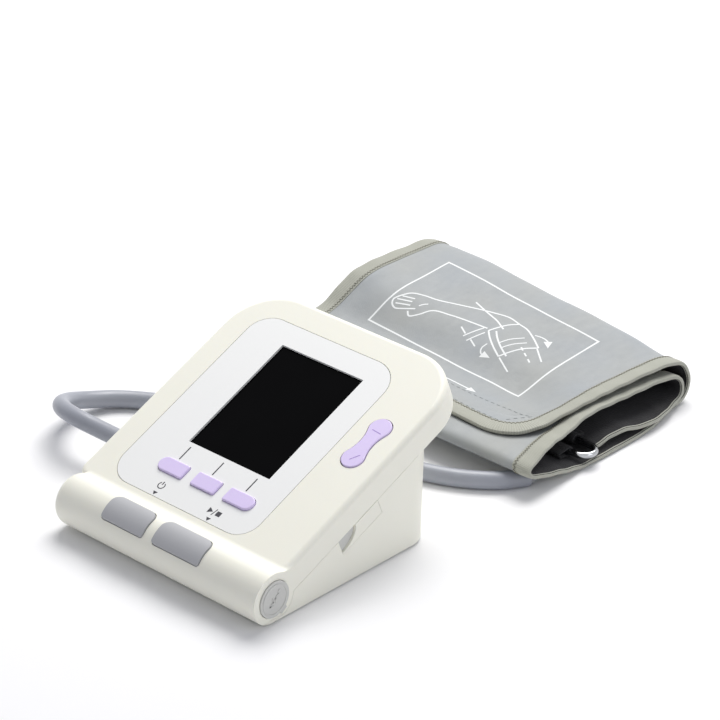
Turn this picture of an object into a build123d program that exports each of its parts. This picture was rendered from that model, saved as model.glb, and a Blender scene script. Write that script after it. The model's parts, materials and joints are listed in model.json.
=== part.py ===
from build123d import *
import os
from math import atan, cos, degrees, radians, sin, tan

# Desktop arm blood pressure monitor: a sloped casing, one air hose and an arm cuff folded into a flat roll.
# Millimetres, +X to the user's right, +Y away from the user, +Z up. Everything is drawn with the casing's
# centre at X 0, Y 0 on the table, then moved so that the origin is under the middle of casing and cuff.

# Casing
WIDTH = 110.0
WALL = 2.2
FACE_TILT = 23.75
FACE_Y, FACE_Z = 53.4, 59.6        # a point of the sloped face, from which V runs up the slope
FACE_REAR_V = 19.0
HEAD_CORNER = 24.0
HEAD_LEFT = 3.8                    # the head's left side stands out over the base
LEFT_FRONT_V, LEFT_FRONT_CORNER = -97.5, 5.0
SKIRT = 11.9                       # depth of the upper shell's side, square to the face
EDGE_ROUND = 2.4
ROLL_Y, ROLL_Z = -40.4, 11.2
ROLL_R = 10.9
ROLL_BLEND = 5.0
ROLL_CUT_Z = 2.3                   # the upper shell's front roll ends this high
ROLL_LEFT, ROLL_LEFT_ROUND = 1.3, 3.5  # its left end stands out and is rounded
BASE_Z = 0.5
BASE_FRONT_Y, STRIP_Y = -44.3, -46.6
BASE_REAR_Y = 52.0
REAR_CORNER, FRONT_CORNER_R, FRONT_CORNER_L = 12.0, 5.0, 15.0
BASE_ROUND = 0.8
SEAM = 0.15
SHELF = 1.5                        # closing plate under the overhanging head
BOARD_W = -8.6                     # upper side of the main board, under the face
BOARD = 1.6

# Face panel, window and keys, as U across and V up the slope
PANEL_U0, PANEL_U1, PANEL_V0, PANEL_V1 = -46.2, 30.3, -92.2, 6.2
PANEL_CORNERS = (11.5, 9.5, 13.0, 10.5)
PANEL = 1.0
PANEL_GAP = 0.3
WINDOW_U, WINDOW_V = -4.0, -34.0
WINDOW_WIDTH, WINDOW_LENGTH = 44.2, 58.8
WINDOW_SUNK, WINDOW = 1.0, 0.7
WINDOW_LEDGE = 1.5
MODULE_WIDTH, MODULE_LENGTH, MODULE = 50.0, 69.2, 3.5
MODULE_FRAME = 1.4
KEY_U = (-22.1, -3.5, 14.8)
KEY_V = -77.3
KEY_WIDTH, KEY_LENGTH = (14.2, 12.7, 14.2), 6.8
KEY_PROUD = 1.0
KEY_GAP = 0.25
KEY_FLANGE = 1.0
KEY_TRAVEL = 0.6
ROCKER_U, ROCKER_V = 41.5, -30.5
ROCKER_LOBE_R, ROCKER_LOBE_V, ROCKER_WAIST = 4.9, 8.5, 6.2
ROCKER_PROUD = 0.5
ROCKER_PIVOT_W = -4.2
ROCKER_GAP = 0.4
SWITCH, SWITCH_BODY = 6.0, 2.3
SWITCH_RISE = 3.5
SWITCH_STEM_R = 1.7
PIN_R = 0.8
RUNNING = 0.05

# Two large buttons on the front roll
BUTTON_X = (-17.8, 11.4)
BUTTON_WIDTH, BUTTON_LENGTH = (22.6, 25.2), 11.6
BUTTON_CORNERS = (1.2, 1.2, 3.8, 3.8)  # the upper two are wide
BUTTON_ANGLE = 119.5
BUTTON_PROUD = 0.7
BUTTON_TRAVEL = 1.0
BUTTON_GAP = 0.3
FRONT_BOARD_H, FRONT_BOARD = 1.7, 1.2
FRONT_BOARD_X0, FRONT_BOARD_X1 = -37.0, 51.5
FRONT_POST_X, FRONT_POST_R = (-35.0, 33.5), 1.8

# Right side: round rubber cap over a data socket, and the hatch over the probe socket
CAP_R, CAP_RISE, CAP_SEAT = 7.7, 0.6, 1.4
CAP_GAP = 0.2
CAP_TAB_ANGLE = -52.0
CAP_PULL = 9.0
DATA_SOCKET = (7.6, 7.5, 3.4)
HATCH_LENGTH, HATCH_WIDTH, HATCH = 24.0, 7.0, 1.6
HATCH_START = 27.3                 # from the roll's rear, along the seam
HATCH_GAP = 0.15
HATCH_SCOOP = (10.2, 6.4, 1.2)      # along the seam, down from it and deep
HATCH_LIFT = 8.0
PROBE_SOCKET = (18.0, 6.0, 8.0)

# Battery bay in the base
CELL_R, CELL_LENGTH, CELL_COUNT, CELL_PITCH = 7.1, 49.5, 4, 15.0
BAY_X, BAY_WALL, BAY_GAP = 11.0, 1.5, 0.5
DOOR, DOOR_GAP = 1.8, 0.3
DOOR_LIP_Z = 14.0
DOOR_TRAVEL = 8.0                  # until its tongues are free; then it drops away

# Fasteners and feet
POST_X, POST_Y = 48.2, (-20.0, 36.0)
POST_R, SCREW_R, SCREW_HEAD_R, SCREW_HEAD = 3.4, 1.25, 2.3, 1.6
SCREW_GRIP = 4.0
SCREW_BITE = 6.0
FEET = ((-36.0, -34.0), (47.0, -34.0), (-44.0, 24.0), (48.6, 22.0))
FOOT_R, FOOT_DEEP = 3.4, 1.2

# Air parts on the left
SOCKET_Y, SOCKET_Z, SOCKET_R = 0.0, 16.0, 4.9
SOCKET_OUT, SOCKET_IN = 0.8, 5.0
PLUG_NOSE_R, PLUG_GRIP_R, PLUG_GRIP = 2.5, 5.2, 9.5
NOZZLE_R = 1.6
TUBE_R = 1.8
MOTOR_X, MOTOR_Y0, MOTOR_R, MOTOR_LENGTH = -32.5, 3.0, 10.0, 24.0
PUMP_HEAD = (25.5, 14.0, 21.0)
SHAFT_R = 1.0

# Hose: centre line from the plug round the casing to the cuff, lying on the table past the first turn
HOSE_R, HOSE_BORE_R = 3.8, 1.9
HOSE_Z = HOSE_R + 0.1
HOSE_ROUTE = (
    (-66.0, 0.0, 16.0), (-80.5, 0.0, 16.0), (-95.5, -2.5, 18.1), (-109.5, 2.3, 15.9),
    (-118.5, 13.2, 10.9), (-119.8, 27.2, 5.8), (-113.4, 40.6, HOSE_Z), (-98.5, 50.7, HOSE_Z),
    (-80.0, 62.0, HOSE_Z), (-52.0, 71.0, HOSE_Z), (-20.0, 76.5, HOSE_Z), (6.0, 79.5, HOSE_Z),
    (22.5, 83.8, HOSE_Z), (34.5, 88.8, HOSE_Z), (45.2, 96.2, HOSE_Z), (52.4, 104.0, HOSE_Z),
    (55.8, 111.0, HOSE_Z),
)
ARC_SHARE = 0.45

# Cuff: a wide cloth ribbon folded three times, seen from its right end
CUFF_X, CUFF_Y = -15.5, 161.0
CUFF_WIDTH = 156.0
CLOTH = 1.5                        # each of the two cloth sides
BLADDER = 1.6
BLADDER_WIDTH = 132.0
BLADDER_TAIL = 60.0                # its last flat run, on the second layer
TAPE, TAPE_WIDTH, TAPE_OUT = 0.4, 9.0, 0.9
LAYER_GAP = 0.9
LOW_LAYER_Z = CLOTH + TAPE
LAYER_PITCH = 2 * CLOTH + LAYER_GAP
NEAR_RISE = 8.2                    # the near fold is lifted by the hose under it
NEAR_FOLD_R, INNER_FOLD_R = 4.6, 5.05
CUFF_FAR, INNER_FAR = 50.0, 42.0   # where the far folds start
CUFF_NEAR, CUFF_TAIL = 57.0, 11.0  # the near fold, and the inner end, this side of the middle
FLAP_END, FLAP_BEND, FLAP_RUN = 14.0, 30.0, 68.0
HOOK_EDGE, HOOK_LENGTH, HOOK_WIDTH, HOOK = 2.0, 44.0, 120.0, 0.35
RING_WIRE_R, RING_WIDTH, RING_LENGTH = 1.4, 13.0, 158.0
RING_OUT = 3.6                     # how far the ring stands out at the right
HEM_R = 2.3
TAB_R, TAB_WIDTH, TAB_LENGTH, TAB_EDGE = 1.75, 24.0, 4.5, 72.0

TILT = radians(FACE_TILT)
face_axis = Vector(0, -sin(TILT), cos(TILT))
on_face = Plane(origin=(0, FACE_Y, FACE_Z), x_dir=(1, 0, 0), z_dir=face_axis)
roll_centre = on_face.to_local_coords(Vector(0, ROLL_Y, ROLL_Z))
press_axis = Vector(0, cos(radians(BUTTON_ANGLE)), sin(radians(BUTTON_ANGLE)))
INSIDE = WIDTH / 2 - WALL


def at(u, v, w):
    """Place on the sloped face: U across, V up the slope, W out of it."""
    return on_face * Pos(u, v, w)


def slab(u0, u1, v0, v1, w0, w1):
    """Box square to the sloped face."""
    return at((u0 + u1) / 2, (v0 + v1) / 2, (w0 + w1) / 2) * Box(u1 - u0, v1 - v0, w1 - w0)


def block(x0, x1, y0, y1, z0, z1):
    return Pos((x0 + x1) / 2, (y0 + y1) / 2, (z0 + z1) / 2) * Box(x1 - x0, y1 - y0, z1 - z0)


def rod_x(x0, x1, y, z, r):
    return Pos((x0 + x1) / 2, y, z) * Rot(0, 90, 0) * Cylinder(r, x1 - x0)


def rod_y(y0, y1, x, z, r):
    return Pos(x, (y0 + y1) / 2, z) * Rot(90, 0, 0) * Cylinder(r, y1 - y0)


def rod_z(z0, z1, x, y, r):
    return Pos(x, y, (z0 + z1) / 2) * Cylinder(r, z1 - z0)


def peg(u, v, w0, w1, r):
    """Round peg square to the sloped face."""
    return at(u, v, (w0 + w1) / 2) * Cylinder(r, w1 - w0)


def plate(points, radii, w0, w1, frame=on_face):
    """Plate with its own radius at each corner, from W w0 to w1."""
    outline = FilletPolyline(*points, radius=list(radii), close=True)
    return frame * Pos(0, 0, w0) * extrude(make_face(outline.edges()), amount=w1 - w0)


def across(x):
    """Frame of a cross section at X: its X axis is the object's Y, its Y axis is Z."""
    return Plane(origin=(x, 0, 0), x_dir=(0, 1, 0), z_dir=(1, 0, 0))


def rectangle(u0, u1, v0, v1):
    return ((u0, v0), (u1, v0), (u1, v1), (u0, v1))


def top_edges(solid, w):
    """Edges of a solid that lie at height w over the face."""
    return [e for e in solid.edges() if abs(on_face.to_local_coords(e @ 0.5).Z - w) < 0.01
            and abs(on_face.to_local_coords(e @ 0).Z - w) < 0.01]


def rim_z(y, drop=SKIRT):
    """Height of a plane parallel to the face, drop under it."""
    return FACE_Z + (y - FACE_Y) * tan(TILT) - drop / cos(TILT)


# Casing shells

def head_solid(inset, w0, w1):
    """The head's outline, moved in by inset."""
    half = WIDTH / 2 - inset
    round_r = HEAD_CORNER - inset
    corners = rectangle(-half, half, roll_centre.Y, FACE_REAR_V - inset)
    return plate(corners, (0, 0, round_r, round_r), w0, w1)


def left_side(inset, w0, w1):
    """The head's left side, moved in by inset."""
    corners = rectangle(-WIDTH / 2 - HEAD_LEFT + inset, 0, LEFT_FRONT_V + inset, FACE_REAR_V - inset)
    return plate(corners, (LEFT_FRONT_CORNER - inset, 0, 0, HEAD_CORNER - inset), w0, w1)


def roll_solid(inset):
    roll = rod_x(-WIDTH / 2 - ROLL_LEFT + inset, WIDTH / 2 - inset, ROLL_Y, ROLL_Z, ROLL_R - inset)
    left_edge = roll.edges().filter_by(GeomType.CIRCLE).sort_by(Axis.X)[0]
    return fillet(left_edge, ROLL_LEFT_ROUND - inset)


def cover_solid():
    """Upper shell as a full solid: sloped head, front roll and the hollow blend between them."""
    head = head_solid(0, -SKIRT, 0)
    rims = [e for e in top_edges(head, 0) if on_face.to_local_coords(e @ 0.5).Y > PANEL_V0]
    solid = fillet(rims, EDGE_ROUND) + roll_solid(0)
    creases = [e for e in top_edges(solid, 0) if on_face.to_local_coords(e @ 0.5).Y < PANEL_V0]
    solid = fillet([e for e in creases if e.length > WIDTH / 2], ROLL_BLEND)
    side = left_side(0, -SKIRT, 0)
    solid += fillet([e for e in top_edges(side, 0) if (e @ 0.5).X < -WIDTH / 4], EDGE_ROUND)
    return solid - block(-WIDTH, WIDTH, -2 * WIDTH, BASE_REAR_Y, -WIDTH, ROLL_CUT_Z)


def cover_hollow():
    link = block(-INSIDE, INSIDE, ROLL_Y, ROLL_Y + 2 * ROLL_R, -WALL, rim_z(ROLL_Y))
    below_rim = slab(-INSIDE, INSIDE, roll_centre.Y, roll_centre.Y + 2 * ROLL_R, -2 * SKIRT, -SKIRT)
    head = head_solid(WALL, -SKIRT - 1, -WALL) + left_side(WALL, WALL - SKIRT, -WALL)
    return head + roll_solid(WALL) + (link + below_rim)


def posts(low_gap):
    """Round posts at the four case screws, as long as the casing."""
    return [rod_z(low_gap, FACE_Z + WALL, x, y, POST_R) for x in (-POST_X, POST_X) for y in POST_Y]


def below_plane(drop):
    """Everything under the plane that lies drop below the face."""
    return slab(-WIDTH, WIDTH, -2 * WIDTH, WIDTH, -2 * WIDTH, -drop)


def key_blank(index, grow, w0, w1):
    """Key outline: square middle key, and outer keys rounded at their outer ends."""
    end = KEY_LENGTH / 2 + grow - 0.02
    near = 0.8 + grow
    left, right = (end if index == 0 else near), (end if index == 2 else near)
    u, half_u, half_v = KEY_U[index], KEY_WIDTH[index] / 2 + grow, KEY_LENGTH / 2 + grow
    corners = rectangle(u - half_u, u + half_u, KEY_V - half_v, KEY_V + half_v)
    return plate(corners, (left, right, right, left), w0, w1)


def rocker_blank(grow, w0, w1):
    """Two round lobes joined by a waist whose hollow sides run smoothly into them."""
    lobe, waist, reach = ROCKER_LOBE_R + grow, ROCKER_WAIST / 2 + grow, ROCKER_LOBE_V
    hollow = (waist ** 2 + reach ** 2 - lobe ** 2) / (2 * (lobe - waist))
    share = lobe / (lobe + hollow)
    u, v = share * (waist + hollow), (1 - share) * reach
    outline = [ThreePointArc((u, v), (0, reach + lobe), (-u, v)), ThreePointArc((-u, v), (-waist, 0), (-u, -v)),
               ThreePointArc((-u, -v), (0, -reach - lobe), (u, -v)), ThreePointArc((u, -v), (waist, 0), (u, v))]
    return at(ROCKER_U, ROCKER_V, w0) * extrude(make_face(outline), amount=w1 - w0)


def rocker_bosses():
    """Two ears under the cover that hold the rocker's pin."""
    ears = [slab(ROCKER_U + s * 4.3 - 1.1, ROCKER_U + s * 4.3 + 1.1, ROCKER_V - 2.4, ROCKER_V + 2.4,
                 ROCKER_PIVOT_W - 1.8, -WALL / 2) for s in (-1, 1)]
    pin = at(ROCKER_U, ROCKER_V, ROCKER_PIVOT_W) * Rot(0, 90, 0) * Cylinder(PIN_R, 12)
    return (ears[0] + ears[1]) - pin


def button_frame(x):
    return Plane(origin=(x, ROLL_Y, ROLL_Z), x_dir=(1, 0, 0), z_dir=press_axis)


def button_block(index, grow, h0, h1, radius, thickness):
    """A block along the press direction, kept where it lies in a curved band round the roll."""
    band = rod_x(-WIDTH, WIDTH, ROLL_Y, ROLL_Z, radius)
    band -= rod_x(-WIDTH, WIDTH, ROLL_Y, ROLL_Z, radius - thickness)
    half_x, half_y = BUTTON_WIDTH[index] / 2 + grow, BUTTON_LENGTH / 2 + grow
    solid = plate(rectangle(-half_x, half_x, -half_y, half_y), [r + grow for r in BUTTON_CORNERS], h0, h1,
                  button_frame(BUTTON_X[index]))
    return solid & band


def cap_disc(grow, x0, x1):
    """Cap outline: a disc with a small finger tab at its lower rear."""
    tab = Pos((x0 + x1) / 2, ROLL_Y, ROLL_Z) * Rot(CAP_TAB_ANGLE, 0, 0) * Pos(0, CAP_R, 0) * Box(
        x1 - x0, 2.0 + 2 * grow, 3.4 + 2 * grow)
    return rod_x(x0, x1, ROLL_Y, ROLL_Z, CAP_R + grow) + tab


BOARD_SCREWS = ((-40.5, -84.0), (40.5, -84.0), (-40.5, -26.0), (34.0, -26.0))


def top_cover():
    solid = cover_solid()
    shell = solid - cover_hollow()
    shell += [post & (solid - below_plane(SKIRT)) for post in posts(0)]
    shell += [peg(u, v, BOARD_W, -WALL, 2.6) for u, v in BOARD_SCREWS]
    shell += rocker_bosses()
    front_posts = [button_frame(x) * Pos(0, 0, (FRONT_BOARD_H + ROLL_R - WALL / 2) / 2) * Cylinder(
        FRONT_POST_R, ROLL_R - WALL / 2 - FRONT_BOARD_H) for x in FRONT_POST_X]
    shell += [post & roll_solid(0) for post in front_posts]
    for u, v in BOARD_SCREWS:
        shell -= peg(u, v, BOARD_W - 1, -WALL, 0.9)
    for x in (-POST_X, POST_X):
        for y in POST_Y:
            shell -= rod_z(0, rim_z(y) + SCREW_BITE, x, y, SCREW_R)
    corners = rectangle(PANEL_U0 - PANEL_GAP, PANEL_U1 + PANEL_GAP, PANEL_V0 - PANEL_GAP, PANEL_V1 + PANEL_GAP)
    shell -= plate(corners, [r + PANEL_GAP for r in PANEL_CORNERS], -PANEL, 1)
    shell -= window_slab(KEY_GAP / 2, -WINDOW_SUNK - WINDOW, 0)
    shell -= window_slab(-WINDOW_LEDGE, -2 * WALL, 0)
    for index in range(3):
        shell -= key_blank(index, KEY_GAP, -2 * WALL, 0)
    shell -= rocker_blank(ROCKER_GAP, -1.5 * WALL, WALL)
    for index in range(2):
        shell -= button_block(index, BUTTON_GAP, 0, 2 * ROLL_R, ROLL_R + 1, WALL + 2)
    shell -= cap_disc(CAP_GAP, WIDTH / 2 - CAP_SEAT, WIDTH / 2 + 1)
    _, wide, high = DATA_SOCKET
    mouth = Box(3 * WALL, wide + 1, high + 1)
    shell -= Pos(WIDTH / 2 - WALL, 0, 0) * data_socket_place() * mouth
    return shell


def window_slab(grow, w0, w1):
    half_u, half_v = WINDOW_WIDTH / 2 + grow, WINDOW_LENGTH / 2 + grow
    return slab(WINDOW_U - half_u, WINDOW_U + half_u, WINDOW_V - half_v, WINDOW_V + half_v, w0, w1)


def data_socket_place():
    """The data socket hangs under the front board, in line with the roll."""
    drop = FRONT_BOARD_H - FRONT_BOARD - DATA_SOCKET[2] / 2
    return Pos(0, ROLL_Y, ROLL_Z) * Rot(BUTTON_ANGLE - 90, 0, 0) * Pos(0, 0, drop)


def base_solid():
    """Lower shell as a full solid: a wedge under the upper shell, cut by the front roll."""
    rear_top, front_top = rim_z(BASE_REAR_Y, SKIRT + SEAM), rim_z(ROLL_Y, SKIRT + SEAM)
    side = Polyline((BASE_FRONT_Y, BASE_Z), (BASE_REAR_Y, BASE_Z), (BASE_REAR_Y, rear_top),
                    (ROLL_Y, front_top), (ROLL_Y, ROLL_CUT_Z - SEAM), (STRIP_Y, ROLL_CUT_Z - SEAM), close=True)
    wedge = across(-WIDTH / 2) * extrude(make_face(side.edges()), amount=WIDTH)
    half = WIDTH / 2
    plan = plate(rectangle(-half, half, STRIP_Y, BASE_REAR_Y),
                 (FRONT_CORNER_L, FRONT_CORNER_R, REAR_CORNER, REAR_CORNER), 0, FACE_Z, Plane.XY)
    wedge = wedge & plan
    low_edges = wedge.edges().group_by(Axis.Z)[0]
    return fillet(low_edges, BASE_ROUND)


def base_hollow():
    floor = BASE_Z + WALL
    side = Polyline((ROLL_Y, floor), (BASE_REAR_Y - WALL, floor), (BASE_REAR_Y - WALL, FACE_Z),
                    (ROLL_Y, FACE_Z), close=True)
    solid = across(-INSIDE) * extrude(make_face(side.edges()), amount=2 * INSIDE)
    plan = plate(rectangle(-INSIDE, INSIDE, ROLL_Y, BASE_REAR_Y - WALL),
                 (0, 0, REAR_CORNER - WALL, REAR_CORNER - WALL), 0, FACE_Z, Plane.XY)
    return solid & plan


BAY_HALF = CELL_COUNT * CELL_PITCH / 2
BAY_TOP = BASE_Z + DOOR + BAY_GAP + 2 * CELL_R + BAY_GAP
BAY_REAR = BASE_REAR_Y - WALL
BAY_FRONT = BAY_REAR - CELL_LENGTH - 4 * BAY_GAP


def side_frame():
    """Frame on the right wall: X along the seam towards the rear, Y up, Z out of the wall."""
    seam_y = ROLL_Y + ROLL_R
    return Plane(origin=(WIDTH / 2, seam_y, rim_z(seam_y, SKIRT + SEAM)),
                 x_dir=(0, cos(TILT), sin(TILT)), z_dir=(1, 0, 0))


def hatch_block(grow, out0, out1):
    centre = HATCH_START + HATCH_LENGTH / 2
    top = -HATCH_GAP
    return side_frame() * Pos(centre, top - HATCH_WIDTH / 2, (out0 + out1) / 2) * Box(
        HATCH_LENGTH + 2 * grow, HATCH_WIDTH + 2 * grow, out1 - out0)


def probe_block(grow, out0, out1):
    centre = HATCH_START + HATCH_LENGTH / 2
    length, high, _ = PROBE_SOCKET
    return side_frame() * Pos(centre, -HATCH_GAP - HATCH_WIDTH / 2, (out0 + out1) / 2) * Box(
        length + 2 * grow, high - 2 + 2 * grow, out1 - out0)


def base_cover():
    solid = base_solid()
    shell = solid - base_hollow()
    ledge = head_solid(WALL + SEAM, -SKIRT - SEAM, -SKIRT + SHELF)
    ledge -= block(-INSIDE, INSIDE, -WIDTH, BASE_REAR_Y - WALL, 0, 2 * WIDTH)
    ledge -= rod_x(-WIDTH, WIDTH, ROLL_Y, ROLL_Z, 2 * ROLL_R)
    shell += ledge & block(-WIDTH, WIDTH, BASE_REAR_Y - WALL, WIDTH, 0, WIDTH)
    shell += [post & solid for post in posts(BASE_Z)]
    bay = block(BAY_X - BAY_HALF - BAY_WALL, BAY_X + BAY_HALF + BAY_WALL, BAY_FRONT - BAY_WALL,
                BASE_REAR_Y - WALL / 2, BASE_Z, BAY_TOP + BAY_WALL)
    shell += bay & solid
    shell -= block(BAY_X - BAY_HALF, BAY_X + BAY_HALF, BAY_FRONT, BAY_REAR, BASE_Z + DOOR, BAY_TOP)
    shell -= door_solid(DOOR_GAP)
    for x in (-POST_X, POST_X):
        for y in POST_Y:
            head_z = rim_z(y) - SCREW_GRIP
            shell -= rod_z(-1, head_z, x, y, SCREW_HEAD_R + 0.3)
            shell -= rod_z(0, FACE_Z, x, y, SCREW_R + 0.2)
    for x, y in FEET:
        shell -= rod_z(-1, FOOT_DEEP, x, y, FOOT_R)
    shell -= rod_x(-WIDTH, WIDTH, ROLL_Y, ROLL_Z, ROLL_R + SEAM) - block(
        -WIDTH, WIDTH, -WIDTH, WIDTH, -WIDTH, ROLL_CUT_Z - SEAM)
    shell -= hatch_block(HATCH_GAP, -HATCH - HATCH_GAP, 1)
    shell -= probe_block(0.3, -3 * WALL, 1)
    shell -= rod_x(-WIDTH, -INSIDE + 1, SOCKET_Y, SOCKET_Z, SOCKET_R + RUNNING)
    return shell


def door_solid(grow):
    """Battery door: floor plate and rear lip in one piece, cut off flush with the casing."""
    x0, x1 = BAY_X - BAY_HALF + 0.5 - grow, BAY_X + BAY_HALF - 0.5 + grow
    floor = block(x0, x1, BAY_FRONT + 0.5 - grow, BASE_REAR_Y + grow, BASE_Z - grow, BASE_Z + DOOR + grow / 2)
    lip = block(x0, x1, BASE_REAR_Y - WALL, BASE_REAR_Y + grow, BASE_Z - grow, DOOR_LIP_Z + grow)
    return floor + lip


def battery_door():
    return door_solid(0) & base_solid()


def face_panel():
    corners = rectangle(PANEL_U0, PANEL_U1, PANEL_V0, PANEL_V1)
    panel = plate(corners, PANEL_CORNERS, -PANEL, 0) - window_slab(0, -2 * PANEL, PANEL)
    for index in range(3):
        panel -= key_blank(index, KEY_GAP, -2 * PANEL, PANEL)
    return panel


def display_window():
    return window_slab(-KEY_GAP / 4, -WINDOW_SUNK - WINDOW, -WINDOW_SUNK)


def display_module():
    return slab(WINDOW_U - MODULE_WIDTH / 2, WINDOW_U + MODULE_WIDTH / 2, WINDOW_V - MODULE_LENGTH / 2,
                WINDOW_V + MODULE_LENGTH / 2, -WALL - 0.1 - MODULE, -WALL - 0.1)


def display_frame():
    def ring(grow, w0, w1):
        half_u, half_v = MODULE_WIDTH / 2 + grow, MODULE_LENGTH / 2 + grow
        return slab(WINDOW_U - half_u, WINDOW_U + half_u, WINDOW_V - half_v, WINDOW_V + half_v, w0, w1)
    frame = ring(MODULE_FRAME, BOARD_W, -WALL - 0.1)
    frame -= ring(0.1, -WALL - 0.1 - MODULE, 0)
    return frame - ring(-3, 2 * BOARD_W, 0)


def key(index):
    cap = key_blank(index, 0, -WALL - 0.2, KEY_PROUD)
    cap = fillet(top_edges(cap, KEY_PROUD), 0.5)
    flange = key_blank(index, KEY_FLANGE, -WALL - 1.2, -WALL - 0.2)
    stem = peg(KEY_U[index], KEY_V, BOARD_W + SWITCH_RISE + KEY_TRAVEL + 0.1, -WALL - 1.2, 1.8)
    return cap + flange + stem


def rocker_key():
    cap = rocker_blank(0, -1.6, ROCKER_PROUD)
    cap = fillet(top_edges(cap, ROCKER_PROUD), 0.4)
    lug = slab(ROCKER_U - 2.8, ROCKER_U + 2.8, ROCKER_V - 1.8, ROCKER_V + 1.8, ROCKER_PIVOT_W - 1.6, -1.6)
    lug -= at(ROCKER_U, ROCKER_V, ROCKER_PIVOT_W) * Rot(0, 90, 0) * Cylinder(PIN_R + RUNNING, 12)
    stem_end = BOARD_W + SWITCH_RISE + 0.5
    stems = [peg(ROCKER_U, ROCKER_V + s * ROCKER_LOBE_V, stem_end, -1.6, 1.6) for s in (-1, 1)]
    return cap + lug + stems


def rocker_pin():
    return at(ROCKER_U, ROCKER_V, ROCKER_PIVOT_W) * Rot(0, 90, 0) * Cylinder(PIN_R, 10.6)


def main_board():
    rear_v = on_face.to_local_coords(Vector(0, BASE_REAR_Y - 2 * WALL, rim_z(BASE_REAR_Y))).Y
    corners = rectangle(-44.6, 44.6, -88.0, rear_v)
    board = plate(corners, (3, 3, 3, 3), BOARD_W - BOARD, BOARD_W)
    for u, v in BOARD_SCREWS:
        board -= peg(u, v, 2 * BOARD_W, 0, 1.2)
    return board


def tact_switch(place):
    """Square switch with its round stem, standing on a board along its +Z."""
    return place * (Pos(0, 0, SWITCH_BODY / 2) * Box(SWITCH, SWITCH, SWITCH_BODY)
                    + Pos(0, 0, SWITCH_RISE / 2) * Cylinder(SWITCH_STEM_R, SWITCH_RISE))


def tact_switches():
    places = [(u, KEY_V) for u in KEY_U]
    places += [(ROCKER_U, ROCKER_V + s * ROCKER_LOBE_V) for s in (-1, 1)]
    return [tact_switch(at(min(u, 44.6 - SWITCH / 2), v, BOARD_W)) for u, v in places]


def board_screws():
    under = BOARD_W - BOARD
    return [peg(u, v, under - 1.2, under, 2.0) + peg(u, v, under, -WALL - 1.5, 0.9) for u, v in BOARD_SCREWS]


def front_board():
    middle = (FRONT_BOARD_X0 + FRONT_BOARD_X1) / 2
    return button_frame(middle) * Pos(0, 0, FRONT_BOARD_H - FRONT_BOARD / 2) * Box(
        FRONT_BOARD_X1 - FRONT_BOARD_X0, 12, FRONT_BOARD)


def front_switches():
    return [tact_switch(button_frame(x) * Pos(0, 0, FRONT_BOARD_H)) for x in BUTTON_X]


def roll_button(index):
    inner_r = ROLL_R - WALL - 0.2
    cap = button_block(index, 0, 0, 2 * ROLL_R, ROLL_R + BUTTON_PROUD, ROLL_R + BUTTON_PROUD - inner_r)
    flange = button_block(index, 1.0, 0, 2 * ROLL_R, inner_r, 1.0)
    stem_end = FRONT_BOARD_H + SWITCH_RISE + BUTTON_TRAVEL + 0.1
    stem = button_frame(BUTTON_X[index]) * Pos(0, 0, (stem_end + inner_r) / 2) * Cylinder(2.0, inner_r - stem_end)
    return cap + flange + stem


def usb_socket():
    depth, wide, high = DATA_SOCKET
    body = Box(depth, wide, high) - Pos(1, 0, 0) * Box(depth, wide - 1, high - 1)
    tongue = Pos(-0.5, 0, 0) * Box(depth - 2, wide - 3, 0.7)
    place = Pos(WIDTH / 2 - CAP_SEAT - WALL / 2 - depth / 2 - 0.9, 0, 0) * data_socket_place()
    return place * (body + tongue)


def usb_cap():
    return cap_disc(0, WIDTH / 2 - CAP_SEAT, WIDTH / 2 + CAP_RISE) + (
        Pos(WIDTH / 2 - CAP_SEAT - 0.6, 0, 0) * data_socket_place() * Box(1.2, 6.0, 1.9))


def side_hatch():
    """Hatch with a scoop for a finger at its front upper corner."""
    hatch = hatch_block(0, -HATCH, 0) + probe_block(0, -WALL + HATCH_GAP, -HATCH)
    long, high, deep = HATCH_SCOOP
    corner = side_frame() * Pos(HATCH_START, -HATCH_GAP, -deep)
    return hatch - corner * extrude(Ellipse(long, high), amount=2 * deep)


def probe_socket():
    length, high, deep = PROBE_SOCKET
    centre = HATCH_START + HATCH_LENGTH / 2
    place = side_frame() * Pos(centre, -HATCH_GAP - HATCH_WIDTH / 2, -WALL - deep / 2)
    pins = [place * Pos(k * 2.4, 0, -0.5) * Cylinder(0.4, deep - 3) for k in (-3, -2, -1, 0, 1, 2, 3)]
    body = place * (Box(length, high, deep) - Pos(0, 0, 2) * Box(length - 2, high - 2.4, deep))
    return body + pins


def rubber_feet():
    return [rod_z(0, FOOT_DEEP, x, y, FOOT_R - 0.05) for x, y in FEET]


def housing_screws():
    screws = []
    for x in (-POST_X, POST_X):
        for y in POST_Y:
            head_z = rim_z(y) - SCREW_GRIP
            head = rod_z(head_z - SCREW_HEAD, head_z, x, y, SCREW_HEAD_R)
            head -= Pos(x, y, head_z - SCREW_HEAD) * (Box(2.8, 0.6, 1.2) + Box(0.6, 2.8, 1.2))
            screws.append(head + rod_z(head_z, rim_z(y) + SCREW_BITE - 0.5, x, y, SCREW_R))
    return screws


# Air parts

SOCKET_X0 = -WIDTH / 2 - SOCKET_OUT
SOCKET_X1 = -WIDTH / 2 + SOCKET_IN
MANIFOLD = (8.0, 8.4, 8.0)
MANIFOLD_X = SOCKET_X1 + 2.5 + MANIFOLD[0] / 2
MANIFOLD_Y = -1.8
TUBE_X = SOCKET_X1 + 2.5 + 2.2
HEAD_Y0 = MOTOR_Y0 + MOTOR_LENGTH
MOTOR_Z = BASE_Z + WALL + 0.8 + MOTOR_R
VALVE = (10.0, 12.0, 9.0)
VALVE_X, VALVE_Y = -39.5, -17.0
VALVE_TUBE_X = -41.0
VALVE_TUBE_Z = BASE_Z + WALL + VALVE[2] / 2
SENSOR_X0 = -33.0


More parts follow.
